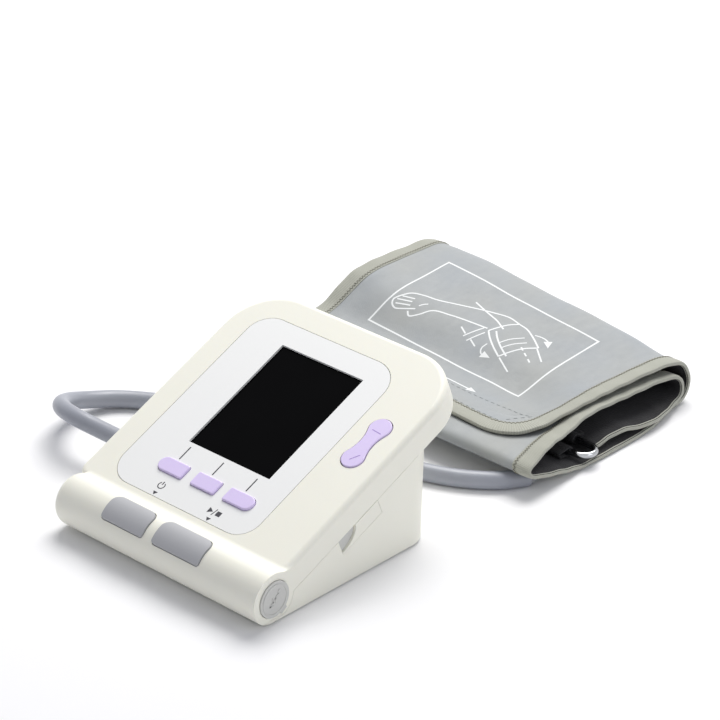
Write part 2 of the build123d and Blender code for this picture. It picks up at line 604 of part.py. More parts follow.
def air_socket():
    flange = rod_x(SOCKET_X0, -WIDTH / 2, SOCKET_Y, SOCKET_Z, SOCKET_R + 0.9)
    body = rod_x(-WIDTH / 2, SOCKET_X1, SOCKET_Y, SOCKET_Z, SOCKET_R)
    nozzle = rod_x(SOCKET_X1, SOCKET_X1 + 2.5, SOCKET_Y, SOCKET_Z, NOZZLE_R)
    bore = rod_x(SOCKET_X0, SOCKET_X1 - 1, SOCKET_Y, SOCKET_Z, PLUG_NOSE_R + RUNNING)
    bore += rod_x(SOCKET_X0, SOCKET_X1 + 3, SOCKET_Y, SOCKET_Z, 0.7)
    return flange + body + nozzle - bore


def hose_plug():
    start = SOCKET_X0 - 0.1
    nose = rod_x(start, SOCKET_X1 - 1.2, SOCKET_Y, SOCKET_Z, PLUG_NOSE_R)
    grip = rod_x(start - PLUG_GRIP, start, SOCKET_Y, SOCKET_Z, PLUG_GRIP_R)
    grip = fillet(grip.edges().filter_by(GeomType.CIRCLE), 0.8)
    ribs = [rod_x(start - 2.2 - k * 1.7, start - 1.4 - k * 1.7, SOCKET_Y, SOCKET_Z, PLUG_GRIP_R + 0.4)
            for k in range(4)]
    end = HOSE_ROUTE[0][0]
    barb = rod_x(end - 5, start - PLUG_GRIP, SOCKET_Y, SOCKET_Z, HOSE_BORE_R - RUNNING)
    bore = rod_x(end - 6, SOCKET_X1, SOCKET_Y, SOCKET_Z, 0.8)
    return nose + grip + ribs + barb - bore


def pump_motor():
    can = rod_y(MOTOR_Y0, HEAD_Y0, MOTOR_X, MOTOR_Z, MOTOR_R)
    can = fillet(can.edges().filter_by(GeomType.CIRCLE).sort_by(Axis.Y)[0], 1.2)
    return can - rod_y(MOTOR_Y0 + 9, HEAD_Y0 + 1, MOTOR_X, MOTOR_Z, SHAFT_R + RUNNING)


def pump_head():
    wide, long, high = PUMP_HEAD
    x0 = TUBE_X - 2.6
    body = block(x0, x0 + wide, HEAD_Y0, HEAD_Y0 + long, MOTOR_Z - high / 2, MOTOR_Z + high / 2)
    body = fillet(body.edges().filter_by(Axis.Y), 2.5)
    body -= rod_y(HEAD_Y0 - 1, HEAD_Y0 + 2, MOTOR_X, MOTOR_Z, SHAFT_R + RUNNING)
    body -= rod_y(HEAD_Y0 + 2, HEAD_Y0 + long - 2, MOTOR_X, MOTOR_Z, 8.2)
    body -= rod_z(0, FACE_Z, -POST_X, POST_Y[1], POST_R + 0.5)
    return body + rod_y(HEAD_Y0 - 2.5, HEAD_Y0, TUBE_X, SOCKET_Z, NOZZLE_R)


def motor_shaft():
    shaft = rod_y(MOTOR_Y0 + 9.3, HEAD_Y0 + 4, MOTOR_X, MOTOR_Z, SHAFT_R)
    eccentric = rod_y(HEAD_Y0 + 4, HEAD_Y0 + 8, MOTOR_X + 1.5, MOTOR_Z, 5.5)
    return shaft + eccentric


def pump_cradle():
    floor = BASE_Z + WALL
    cradle = block(MOTOR_X - 9, MOTOR_X + 9, MOTOR_Y0 + 3, MOTOR_Y0 + 19, floor, floor + 6.5)
    return cradle - rod_y(0, HEAD_Y0, MOTOR_X, MOTOR_Z, MOTOR_R + 0.02)


def air_manifold():
    wide, long, high = MANIFOLD
    body = Pos(MANIFOLD_X, MANIFOLD_Y, SOCKET_Z - 0.5) * Box(wide, long, high)
    rear_port = rod_y(MANIFOLD_Y + long / 2, MANIFOLD_Y + long / 2 + 0.4, TUBE_X, SOCKET_Z, NOZZLE_R)
    low_port = rod_z(SOCKET_Z - 0.5 - high / 2 - 1.5, SOCKET_Z - 0.5 - high / 2, VALVE_TUBE_X, MANIFOLD_Y, NOZZLE_R)
    side_port = rod_x(MANIFOLD_X + wide / 2, MANIFOLD_X + wide / 2 + 1.5, MANIFOLD_Y, SOCKET_Z + 1, NOZZLE_R)
    return body + rear_port + low_port + side_port


def pump_tube():
    return rod_y(MANIFOLD_Y + MANIFOLD[1] / 2 + 0.4, HEAD_Y0 - 2.5, TUBE_X, SOCKET_Z, TUBE_R)


def valve_tube():
    """Short bend from under the manifold to the valve's rear face."""
    top = SOCKET_Z - 0.5 - MANIFOLD[2] / 2 - 1.5
    path = FilletPolyline((VALVE_TUBE_X, MANIFOLD_Y, top), (VALVE_TUBE_X, MANIFOLD_Y, VALVE_TUBE_Z),
                          (VALVE_TUBE_X, VALVE_Y + VALVE[1] / 2, VALVE_TUBE_Z), radius=2.4)
    start = Plane(origin=(VALVE_TUBE_X, MANIFOLD_Y, top), z_dir=(0, 0, -1))
    return sweep(start * Circle(TUBE_R), path=path)


def sensor_tube():
    start = MANIFOLD_X + MANIFOLD[0] / 2 + 1.5
    return rod_x(start, SENSOR_X0 - 1.0, MANIFOLD_Y, SOCKET_Z + 1, TUBE_R)


def pressure_sensor():
    """Sensor soldered under the main board, with its port towards the manifold."""
    underside = BOARD_W - BOARD
    seat = on_face.to_local_coords(Vector(SENSOR_X0 + 4, MANIFOLD_Y, rim_z(MANIFOLD_Y, -underside)))
    body = at(seat.X, seat.Y - 1.8, underside - 3.2) * Box(8, 6.5, 6.4)
    return body + rod_x(SENSOR_X0 - 1.0, SENSOR_X0 + 1, MANIFOLD_Y, SOCKET_Z + 1, NOZZLE_R)


def dump_valve():
    wide, long, high = VALVE
    body = block(VALVE_X - wide / 2, VALVE_X + wide / 2, VALVE_Y - long / 2, VALVE_Y + long / 2,
                 BASE_Z + WALL, BASE_Z + WALL + high)
    return body - rod_x(VALVE_X - 1, VALVE_X + wide, VALVE_Y - 1, VALVE_TUBE_Z, 1.5 + RUNNING)


def valve_plunger():
    x1 = VALVE_X + VALVE[0] / 2
    return rod_x(VALVE_X + 0.5, x1 + 1, VALVE_Y - 1, VALVE_TUBE_Z, 1.5) + rod_x(
        x1 + 1, x1 + 2, VALVE_Y - 1, VALVE_TUBE_Z, 2.4)


def buzzer():
    seat = on_face.to_local_coords(Vector(-12, 28, rim_z(28)))
    underside = BOARD_W - BOARD
    return peg(seat.X, seat.Y, underside - 6.5, underside, 6.0) - peg(seat.X, seat.Y, underside - 7, underside - 5, 1.0)


# Battery parts

def cell_x(k):
    return BAY_X - BAY_HALF + CELL_PITCH * (k + 0.5)


CELL_Z = BASE_Z + DOOR + BAY_GAP + CELL_R
CELL_FRONT = BAY_FRONT + 0.4 + 1.4


def battery_cells():
    """Each second cell is turned round, its raised end towards the other contact."""
    cells = []
    for k in range(CELL_COUNT):
        body = rod_y(CELL_FRONT, CELL_FRONT + CELL_LENGTH - 1.5, cell_x(k), CELL_Z, CELL_R)
        nub_y = CELL_FRONT + CELL_LENGTH - 1.5
        nub = rod_y(nub_y, nub_y + 1.0, cell_x(k), CELL_Z, 2.6)
        cell = body + nub
        if k % 2:
            cell = Pos(0, BAY_FRONT + BAY_REAR, 0) * mirror(cell, Plane.XZ)
        cells.append(cell)
    return cells


def battery_springs():
    """One cone spring at each flat cell end, drawn as a plain cone."""
    springs = []
    for k in range(CELL_COUNT):
        cone = Rot(90, 0, 0) * Cone(4.0, 2.4, 1.3)
        if k % 2:
            spring = Pos(cell_x(k), BAY_REAR - 0.4 - 0.65, CELL_Z) * cone
        else:
            spring = Pos(cell_x(k), BAY_FRONT + 0.4 + 0.65, CELL_Z) * Rot(180, 0, 0) * cone
        springs.append(spring)
    return springs


def battery_plates():
    """Contact strips: single ones at the ends of the chain, wide ones that join two cells."""
    pairs = {"front": ((0, 0), (1, 2), (3, 3)), "rear": ((0, 1), (2, 3))}
    strips = []
    for end, spans in pairs.items():
        y0 = BAY_FRONT if end == "front" else BAY_REAR - 0.4
        for first, last in spans:
            strips.append(block(cell_x(first) - 5, cell_x(last) + 5, y0, y0 + 0.4, CELL_Z - 5, CELL_Z + 5))
    return strips


# Hose

def route_radii(route):
    """Radius at each inner point: a share of the shorter run, over the tangent of half the turn."""
    points = [Vector(*p) for p in route]
    radii = []
    for a, b, c in zip(points, points[1:], points[2:]):
        turn = (b - a).get_angle(c - b)
        radii.append(ARC_SHARE * min((b - a).length, (c - b).length) / tan(radians(turn) / 2))
    return radii


def hose():
    radii = route_radii(HOSE_ROUTE)
    path = FilletPolyline(*HOSE_ROUTE, radius=radii)
    start = Plane(origin=HOSE_ROUTE[0], z_dir=Vector(*HOSE_ROUTE[1]) - Vector(*HOSE_ROUTE[0]))
    tube = sweep(start * Circle(HOSE_R), path=path) - sweep(start * Circle(HOSE_BORE_R), path=path)
    section = 3.14159 * (HOSE_R ** 2 - HOSE_BORE_R ** 2)
    print("hose length %.1f, volume / (section x length) %.4f" % (path.length, tube.volume / section / path.length))
    print("hose radii", [round(r, 1) for r in radii])
    return tube


# Cuff

def run(length):
    return (None, length)


def bend(radius, turn):
    """Turn left by an angle; a negative one turns right."""
    return (radius, turn)


def walk(moves, start, heading, side=0.0):
    """Edges of a path of runs and bends, shifted to its left by side; also where the path ends."""
    here, angle, edges = Vector(*start), heading, []
    for radius, amount in moves:
        ahead = Vector(cos(radians(angle)), sin(radians(angle)))
        left = Vector(-ahead.Y, ahead.X)
        first = here + left * side
        if radius is None:
            here = here + ahead * amount
            edges.append(Line(first, here + left * side))
        else:
            centre = here + left * (radius if amount > 0 else -radius)
            turned = [centre + (first - centre).rotate(Axis.Z, amount * share) for share in (0.5, 1)]
            edges.append(ThreePointArc(first, *turned))
            here = centre + (here - centre).rotate(Axis.Z, amount)
            angle += amount
    return edges, (here.X, here.Y), angle


def ribbon(moves, start, heading, low, high, x0, x1):
    """A band of cloth along the path, between two offsets from it, from X x0 to x1."""
    lower = walk(moves, start, heading, low)[0]
    upper = walk(moves, start, heading, high)[0]
    caps = [Line(lower[0] @ 0, upper[0] @ 0), Line(lower[-1] @ 1, upper[-1] @ 1)]
    face = make_face([edge for line in lower + upper + caps for edge in line.edges()])
    return across(x0) * extrude(face, amount=x1 - x0)


def cuff_place():
    return Pos(CUFF_X, CUFF_Y, 0)


SLOPE = 9.0
RISE = 32.0
TOP_LAYER_Z = LOW_LAYER_Z + 4 * LAYER_PITCH + 2.3
FAR_FOLD_R = (TOP_LAYER_Z - LOW_LAYER_Z) / 2
SECOND_LAYER_Z = TOP_LAYER_Z - LAYER_PITCH
FLAP_MOVES = [run(FLAP_END), bend(FLAP_BEND, SLOPE), run(FLAP_RUN), bend(FAR_FOLD_R, -180)]
RISE_START = 27.0
LOW_RUN = CUFF_FAR + RISE_START
RISE_BEND = 6.0
RISE_RUN = (NEAR_RISE - 2 * RISE_BEND * (1 - cos(radians(RISE)))) / sin(radians(RISE))
NEAR_RUN = CUFF_NEAR - RISE_START - RISE_RUN * cos(radians(RISE)) - 2 * RISE_BEND * sin(radians(RISE))
DROP = LOW_LAYER_Z + NEAR_RISE + 2 * NEAR_FOLD_R - SECOND_LAYER_Z
DROP_BEND = 20.0
DROP_RUN = (DROP - 2 * DROP_BEND * (1 - cos(radians(SLOPE)))) / sin(radians(SLOPE))
BLADDER_MOVES = [run(LOW_RUN), bend(RISE_BEND, -RISE), run(RISE_RUN), bend(RISE_BEND, RISE), run(NEAR_RUN),
                 bend(NEAR_FOLD_R, -180), bend(DROP_BEND, -SLOPE), run(DROP_RUN), bend(DROP_BEND, SLOPE), run(BLADDER_TAIL)]


def cuff_path():
    """The three stretches of the folded ribbon, worked back from the far fold."""
    flap_rise = FLAP_END * sin(radians(SLOPE)) + FLAP_BEND * (1 - cos(radians(SLOPE)))
    flap_back = FLAP_END * cos(radians(SLOPE)) + FLAP_BEND * sin(radians(SLOPE)) + FLAP_RUN
    start = (CUFF_FAR - flap_back, TOP_LAYER_Z + flap_rise)
    _, middle, heading = walk(FLAP_MOVES, start, -SLOPE)
    _, last, heading2 = walk(BLADDER_MOVES, middle, heading)
    tail = [run(INNER_FAR - last[0]), bend(INNER_FOLD_R, -180), run(INNER_FAR + CUFF_TAIL)]
    return (start, -SLOPE), (middle, heading), (last, heading2), tail


FLAP_START, BLADDER_START, TAIL_START, TAIL_MOVES = cuff_path()
CUFF_MOVES = FLAP_MOVES + BLADDER_MOVES + TAIL_MOVES


def band(low, high, x0, x1):
    """Full length of the folded cuff between two offsets."""
    return ribbon(CUFF_MOVES, *FLAP_START, low, high, x0, x1)


def bladder_band(grow):
    half = BLADDER_WIDTH / 2 + grow
    return ribbon(BLADDER_MOVES, *BLADDER_START, -BLADDER / 2, BLADDER / 2, -half, half)


NIPPLE_REACH, NIPPLE_R, COLLAR_R, DUCT = 3.0, 2.6, 2.2, 8.0
HOSE_END = Vector(*HOSE_ROUTE[-1])
HOSE_AHEAD = (HOSE_END - Vector(*HOSE_ROUTE[-2])).normalized()
NIPPLE = HOSE_END + HOSE_AHEAD * NIPPLE_REACH
RAISED_Z = LOW_LAYER_Z + NEAR_RISE


def nipple_stub(radius, top):
    return rod_z(HOSE_Z - 2.4, top, NIPPLE.X, NIPPLE.Y, radius)


def duct():
    """Flat air duct inside the cloth, from the stub to the bladder."""
    x0 = CUFF_X + BLADDER_WIDTH / 2
    return block(x0, NIPPLE.X + NIPPLE_R + 1, NIPPLE.Y - DUCT / 2, NIPPLE.Y + DUCT / 2,
                 RAISED_Z - BLADDER / 2, RAISED_Z + BLADDER / 2)


def cuff_nipple():
    stub = nipple_stub(NIPPLE_R, RAISED_Z - BLADDER / 2)
    barb_plane = Plane(origin=HOSE_END - HOSE_AHEAD * 5, z_dir=HOSE_AHEAD)
    barb = extrude(barb_plane * Circle(HOSE_BORE_R - RUNNING), amount=5 + NIPPLE_REACH)
    collar_plane = Plane(origin=HOSE_END, z_dir=HOSE_AHEAD)
    collar = extrude(collar_plane * Circle(COLLAR_R), amount=NIPPLE_REACH)
    return stub + duct() + barb + collar


def cuff_cover():
    """Outer nylon side, from the ribbon's middle outwards, with room for the bladder."""
    cloth = band(0, CLOTH, -CUFF_WIDTH / 2, CUFF_WIDTH / 2) - bladder_band(0)
    return cuff_place() * cloth - duct() - nipple_stub(NIPPLE_R + 0.1, RAISED_Z)


def cuff_lining():
    cloth = band(-CLOTH, 0, -CUFF_WIDTH / 2, CUFF_WIDTH / 2) - bladder_band(0)
    return cuff_place() * cloth - duct()


def cuff_bladder():
    return cuff_place() * bladder_band(0)


def cuff_binding():
    """Edge tape folded over both side edges of the cloth."""
    tapes = []
    half = CUFF_WIDTH / 2
    for side in (-1, 1):
        x0, x1 = sorted((side * (half - TAPE_WIDTH), side * (half + TAPE_OUT)))
        tape = band(-CLOTH - TAPE, CLOTH + TAPE, x0, x1)
        tape -= band(-CLOTH, CLOTH, -half, half)
        tapes.append(cuff_place() * tape - nipple_stub(NIPPLE_R + 0.1, RAISED_Z))
    return tapes


def hook_patch():
    """Hook fastener sewn under the free flap, on its lining side."""
    start, heading = FLAP_START
    _, place, angle = walk([run(HOOK_EDGE)], start, heading)
    patch = ribbon([run(FLAP_END - HOOK_EDGE), bend(FLAP_BEND, SLOPE), run(HOOK_LENGTH - FLAP_END)], place, angle,
                   -CLOTH - HOOK, -CLOTH, -HOOK_WIDTH / 2, HOOK_WIDTH / 2)
    return cuff_place() * patch


CUFF_END = walk(CUFF_MOVES, *FLAP_START)[1]
RING_Y = CUFF_END[0] - HEM_R + 0.2
RING_Z = CUFF_END[1]
RING_REACH = RING_WIDTH - 2 * RING_WIRE_R


def cuff_ring():
    """Long wire loop at the cuff's inner end; its far bar turns in the hem."""
    x0 = CUFF_WIDTH / 2 + RING_OUT - RING_LENGTH / 2
    loop = SlotOverall(RING_LENGTH - 2 * RING_WIRE_R, RING_REACH).face().outer_wire()
    loop = Pos(x0, RING_Y - RING_REACH / 2, RING_Z) * loop
    first = loop.edges()[0]
    wire = sweep(Plane(origin=first @ 0, z_dir=first % 0) * Circle(RING_WIRE_R), path=loop)
    return cuff_place() * wire


def ring_tab():
    """Short folded strip on the ring's near bar."""
    near_y = RING_Y - RING_REACH
    x0, x1 = TAB_EDGE - TAB_WIDTH, TAB_EDGE
    loop = rod_x(x0, x1, near_y, RING_Z, TAB_R)
    loop += block(x0, x1, near_y - TAB_LENGTH, near_y, RING_Z - TAB_R, RING_Z + TAB_R)
    loop -= rod_x(x0 - 1, x1 + 1, near_y, RING_Z, RING_WIRE_R)
    loop -= block(x0 - 1, x1 + 1, near_y - TAB_LENGTH + 0.8, near_y, RING_Z - 1.0, RING_Z + 1.0)
    return cuff_place() * loop


def ring_hem():
    """Closed hem at the lining's inner end, round the ring's far bar."""
    half = CUFF_WIDTH / 2 - TAPE_WIDTH - 2
    hem = rod_x(-half, half, RING_Y, RING_Z, HEM_R)
    hem -= rod_x(-half - 1, half + 1, RING_Y, RING_Z, RING_WIRE_R + RUNNING)
    hem -= block(-half - 1, half + 1, CUFF_END[0], CUFF_END[0] + HEM_R, 0, TOP_LAYER_Z)
    return cuff_place() * hem


CORD_NODES = ("hose", "hose_plug", "cuff_nipple")

PARTS = {
    "top_cover": top_cover, "base_cover": base_cover, "face_panel": face_panel,
    "display_window": display_window, "display_module": display_module, "display_frame": display_frame,
    "key_left": lambda: key(0), "key_middle": lambda: key(1), "key_right": lambda: key(2),
    "rocker_key": rocker_key, "rocker_pin": rocker_pin, "main_board": main_board,
    "tact_switches": tact_switches, "board_screws": board_screws, "front_board": front_board,
    "front_switches": front_switches, "power_button": lambda: roll_button(0),
    "start_button": lambda: roll_button(1), "usb_socket": usb_socket, "usb_cap": usb_cap,
    "side_hatch": side_hatch, "probe_socket": probe_socket, "battery_door": battery_door,
    "battery_cells": battery_cells, "battery_springs": battery_springs, "battery_plates": battery_plates,
    "rubber_feet": rubber_feet, "housing_screws": housing_screws, "air_socket": air_socket,
    "air_manifold": air_manifold, "pump_tube": pump_tube, "valve_tube": valve_tube,
    "sensor_tube": sensor_tube, "pressure_sensor": pressure_sensor, "dump_valve": dump_valve,
    "valve_plunger": valve_plunger, "pump_motor": pump_motor, "motor_shaft": motor_shaft,
    "pump_head": pump_head, "pump_cradle": pump_cradle, "buzzer": buzzer, "hose_plug": hose_plug,
    "hose": hose, "cuff_nipple": cuff_nipple, "cuff_cover": cuff_cover, "cuff_lining": cuff_lining,
    "cuff_bladder": cuff_bladder, "cuff_binding": cuff_binding, "hook_patch": hook_patch,
    "cuff_ring": cuff_ring, "ring_hem": ring_hem, "ring_tab": ring_tab,
}


def main():
    os.makedirs("parts", exist_ok=True)
    shapes = {}
    for name, make in PARTS.items():
        made = make()
        shapes[name] = Compound(list(made)) if isinstance(made, list) else made
    own = Compound([shape for name, shape in shapes.items() if name not in CORD_NODES])
    box = own.bounding_box()
    shift = Vector(-box.center().X, -box.center().Y, -box.min.Z)
    print("moved by", shift, "size", box.size)
    for name, shape in shapes.items():
        export_step(Pos(*shift) * shape, "parts/" + name + ".step")


if __name__ == "__main__":
    main()
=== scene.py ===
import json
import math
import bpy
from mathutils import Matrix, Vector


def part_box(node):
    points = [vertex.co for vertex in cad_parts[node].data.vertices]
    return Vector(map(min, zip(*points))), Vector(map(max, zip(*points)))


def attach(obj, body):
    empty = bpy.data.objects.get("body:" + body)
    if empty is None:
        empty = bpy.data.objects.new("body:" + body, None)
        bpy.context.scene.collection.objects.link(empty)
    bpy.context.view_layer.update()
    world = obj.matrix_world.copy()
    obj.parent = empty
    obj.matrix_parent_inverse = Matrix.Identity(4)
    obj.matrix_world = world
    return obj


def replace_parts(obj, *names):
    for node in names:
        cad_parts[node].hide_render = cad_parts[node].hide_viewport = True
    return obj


bl_info = {
    "name": "Arm Blood Pressure Monitor",
    "version": (1, 0, 0),
    "blender": (4, 5, 0),
    "location": "View3D > Sidebar > Monitor",
    "description": "Finishes, cuff, hose and small fittings of a desktop arm blood pressure monitor",
    "category": "Add Mesh",
}

import bmesh
import bpy
import numpy as np
from mathutils import Matrix, Vector

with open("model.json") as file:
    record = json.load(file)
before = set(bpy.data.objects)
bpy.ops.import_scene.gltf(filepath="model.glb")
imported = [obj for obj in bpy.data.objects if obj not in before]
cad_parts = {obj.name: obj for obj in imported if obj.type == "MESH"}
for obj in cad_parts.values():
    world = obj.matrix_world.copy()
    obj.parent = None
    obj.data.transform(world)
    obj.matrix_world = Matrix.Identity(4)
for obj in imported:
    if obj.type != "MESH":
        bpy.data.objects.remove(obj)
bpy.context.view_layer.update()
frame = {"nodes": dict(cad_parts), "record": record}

MM = 0.001
CASING = "monitor"

# The drawing is in millimetres with its origin under the casing's middle, and the model is moved by this
MOVED = np.array([14.15, -85.275, 0.0])

# The sloped face: U across it, V up the slope, W out of it
FACE_ORIGIN = np.array([0.0, 53.4, 59.6])
FACE_TILT = math.radians(23.75)
FACE_U = np.array([1.0, 0.0, 0.0])
FACE_V = np.array([0.0, math.cos(FACE_TILT), math.sin(FACE_TILT)])
FACE_W = np.array([0.0, -math.sin(FACE_TILT), math.cos(FACE_TILT)])


def placed(points):
    """Millimetres in the drawing's frame to metres in the model's."""
    return (np.asarray(points, float) + MOVED) * MM


# Settings that a user may change


class CasingSettings(bpy.types.PropertyGroup):
    shell_colour: bpy.props.FloatVectorProperty(
        name="Shell", description="Colour of the casing", subtype="COLOR", size=3,
        default=(0.925, 0.915, 0.815))
    panel_colour: bpy.props.FloatVectorProperty(
        name="Panel", description="Colour of the face panel", subtype="COLOR", size=3,
        default=(0.915, 0.92, 0.91))
    key_colour: bpy.props.FloatVectorProperty(
        name="Keys", description="Colour of the keys", subtype="COLOR", size=3,
        default=(0.75, 0.64, 0.95))
    button_colour: bpy.props.FloatVectorProperty(
        name="Buttons", description="Colour of the large buttons", subtype="COLOR", size=3,
        default=(0.46, 0.465, 0.485))
    mark_depth: bpy.props.FloatProperty(
        name="Print Depth", description="Thickness of the printed marks", subtype="DISTANCE", default=0.00005)


class HoseSettings(bpy.types.PropertyGroup):
    diameter: bpy.props.FloatProperty(
        name="Diameter", description="Outside diameter of the air hose", subtype="DISTANCE", default=0.0076)
    length: bpy.props.FloatProperty(
        name="Length", description="Length of the hose from plug to cuff", subtype="DISTANCE", default=0.2768)
    colour: bpy.props.FloatVectorProperty(
        name="Colour", description="Colour of the hose", subtype="COLOR", size=3,
        default=(0.315, 0.33, 0.378))


class CuffSettings(bpy.types.PropertyGroup):
    width: bpy.props.FloatProperty(
        name="Width", description="Width of the cuff's cloth", subtype="DISTANCE", default=0.156)
    cloth: bpy.props.FloatProperty(
        name="Half Thickness", description="Half the thickness of cloth and lining together at the edges",
        subtype="DISTANCE", default=0.00105)
    filling: bpy.props.FloatProperty(
        name="Filling", description="How far the bladder lifts each side of the cloth",
        subtype="DISTANCE", default=0.00035)
    tape: bpy.props.FloatProperty(
        name="Tape Width", description="How far the edge tape reaches in", subtype="DISTANCE", default=0.0085)
    corner: bpy.props.FloatProperty(
        name="Corner Radius", description="Radius of the free end's corners", subtype="DISTANCE",
        default=0.022)
    stitch: bpy.props.FloatProperty(
        name="Stitch Length", description="Step of the zigzag sewing", subtype="DISTANCE", default=0.0016)
    cloth_colour: bpy.props.FloatVectorProperty(
        name="Nylon", description="Colour of the outer cloth", subtype="COLOR", size=3,
        default=(0.355, 0.367, 0.361))
    tape_colour: bpy.props.FloatVectorProperty(
        name="Tape", description="Colour of the edge tape", subtype="COLOR", size=3,
        default=(0.43, 0.435, 0.375))
    lining_colour: bpy.props.FloatVectorProperty(
        name="Lining", description="Colour of the loop side", subtype="COLOR", size=3,
        default=(0.006, 0.006, 0.007))


class StageSettings(bpy.types.PropertyGroup):
    lens: bpy.props.FloatProperty(
        name="Lens", description="Focal length for a 36 mm sensor, in millimetres", default=146.18)
    floor_colour: bpy.props.FloatVectorProperty(
        name="Floor", description="Colour of the floor", subtype="COLOR", size=3,
        default=(0.95, 0.95, 0.96))
    key_power: bpy.props.FloatProperty(
        name="Key Lamp", description="Power of the main softbox, in watts", default=22.0)


# Nodes


def feed(tree, socket, value):
    """Sets a socket, or links it where its value comes from another socket."""
    if isinstance(value, bpy.types.NodeSocket):
        tree.links.new(value, socket)
    else:
        socket.default_value = value


def added_node(tree, kind, settings, inputs):
    """A new node with its settings and its inputs, whose names have _ for a blank."""
    made = tree.nodes.new(kind)
    for key, value in (settings or {}).items():
        setattr(made, key, value)
    for key, value in inputs.items():
        feed(tree, made.inputs[key.replace("_", " ")], value)
    return made


def maths_node(tree, operation, *values):
    """The result of one operation on one or two values."""
    made = added_node(tree, "ShaderNodeMath", {"operation": operation}, {})
    for socket, value in zip(made.inputs, values):
        feed(tree, socket, value)
    return made.outputs[0]


# Materials


class Finish:
    """A principled material and short ways to add nodes to it."""

    def __init__(self, name, roughness=0.5, **sockets):
        self.material = bpy.data.materials.new(name)
        self.material.use_nodes = True
        self.tree = self.material.node_tree
        self.shader = self.tree.nodes["Principled BSDF"]
        self.shader.inputs["Roughness"].default_value = roughness
        for socket, value in sockets.items():
            self.shader.inputs[socket.replace("_", " ")].default_value = value
        self.where = self.tree.nodes.new("ShaderNodeTexCoord").outputs["Object"]

    def node(self, kind, settings=None, **inputs):
        return added_node(self.tree, "ShaderNode" + kind, settings, inputs)

    def follow_cloth(self):
        """Patterns follow the piece's own map, whose unit is a metre."""
        self.where = self.node("UVMap", {"uv_map": "cloth"}).outputs["UV"]

    def noise(self, size, detail=2.0, stretch=(1, 1, 1)):
        """Noise whose features are about this size in metres."""
        scaled = self.node("Mapping", Vector=self.where, Scale=tuple(s / size for s in stretch))
        return self.node("TexNoise", Vector=scaled.outputs[0], Scale=1.0, Detail=detail).outputs["Fac"]

    def rows(self, pitch, direction):
        """Soft parallel rows at this pitch in metres."""
        bands = {"wave_type": "BANDS", "bands_direction": direction, "wave_profile": "SIN"}
        wave = self.node("TexWave", bands, Vector=self.where, Scale=math.pi / (10 * pitch), Distortion=0.0)
        return wave.outputs["Fac"]

    def blend(self, fac, low, high):
        """A mix of two colours, each given as numbers or as a socket."""
        mix = self.node("Mix", {"data_type": "RGBA"}, Factor=fac)
        for letter, value in (("A", low), ("B", high)):
            target = [s for s in mix.inputs if s.name == letter and s.type == "RGBA"][0]
            feed(self.tree, target, value if isinstance(value, bpy.types.NodeSocket) else (*value[:3], 1.0))
        return [s for s in mix.outputs if s.type == "RGBA"][0]

    def between(self, fac, low, high, start=0.3, end=0.7):
        ranged = self.node("MapRange", Value=fac, From_Min=start, From_Max=end, To_Min=low, To_Max=high)
        return ranged.outputs["Result"]

    def colour(self, socket):
        self.tree.links.new(socket, self.shader.inputs["Base Color"])

    def roughness(self, socket):
        self.tree.links.new(socket, self.shader.inputs["Roughness"])

    def bump(self, layers):
        """Stacked bumps, each a height socket and its depth in metres."""
        normal = None
        for height, depth in layers:
            bump = self.node("Bump", Height=height, Distance=depth, Strength=1.0)
            if normal is not None:
                self.tree.links.new(normal, bump.inputs["Normal"])
            normal = bump.outputs["Normal"]
        self.tree.links.new(normal, self.shader.inputs["Normal"])


def tint(colour, share):
    """A colour made darker or lighter by a share."""
    return tuple(min(1.0, c * share) for c in colour)


def moulded(name, colour, roughness, grain=0.0004, depth=0.000006, blotch=0.03, spread=0.03, uneven=0.055,
            **sockets):
    """Moulded plastic or rubber: faint uneven colour, a fine grain and slightly uneven gloss."""
    finish = Finish(name, roughness, **sockets)
    finish.colour(finish.blend(finish.noise(blotch, 3.0), tint(colour, 1 - spread), tint(colour, 1 + spread)))
    finish.roughness(finish.between(finish.noise(blotch / 3, 4.0), roughness - uneven, roughness + uneven))
    finish.bump([(finish.noise(grain, 1.0), depth)])
    return finish.material


def metal(name, colour, roughness, stretch=(1, 1, 1)):
    """Metal with fine drawing or plating marks along one direction."""
    finish = Finish(name, roughness, Metallic=1.0)
    marks = finish.noise(0.0006, 4.0, stretch)
    finish.colour(finish.blend(marks, tint(colour, 0.92), colour))
    finish.roughness(finish.between(marks, roughness * 0.8, roughness * 1.3))
    finish.bump([(marks, 0.000003)])
    return finish.material


def woven(name, colour, pitch, depth):
    """Close plain weave that follows the cloth, with broad bluish patches and fine mottling."""
    roughness, mottling, cool_tint = 0.6, 0.05, (0.93, 0.97, 1.06)
    finish = Finish(name, roughness, Sheen_Weight=0.1, Sheen_Roughness=0.35)
    finish.follow_cloth()
    weave = maths_node(finish.tree, "MAXIMUM", finish.rows(pitch, "X"), finish.rows(pitch, "Y"))
    broad = finish.between(finish.noise(0.035, 2.0), 0.0, 1.0)
    ground = finish.blend(broad, colour, tuple(c * t for c, t in zip(colour, cool_tint)))
    fine = finish.noise(0.0025, 5.0, (1, 0.35, 1))
    finish.colour(finish.blend(fine, finish.blend(weave, tint(colour, 1 - 2 * mottling), ground), ground))
    finish.roughness(finish.between(fine, roughness - 0.07, roughness + 0.08))
    finish.bump([(finish.noise(0.006, 3.0), 0.00022), (fine, 0.00005), (weave, depth)])
    return finish.material


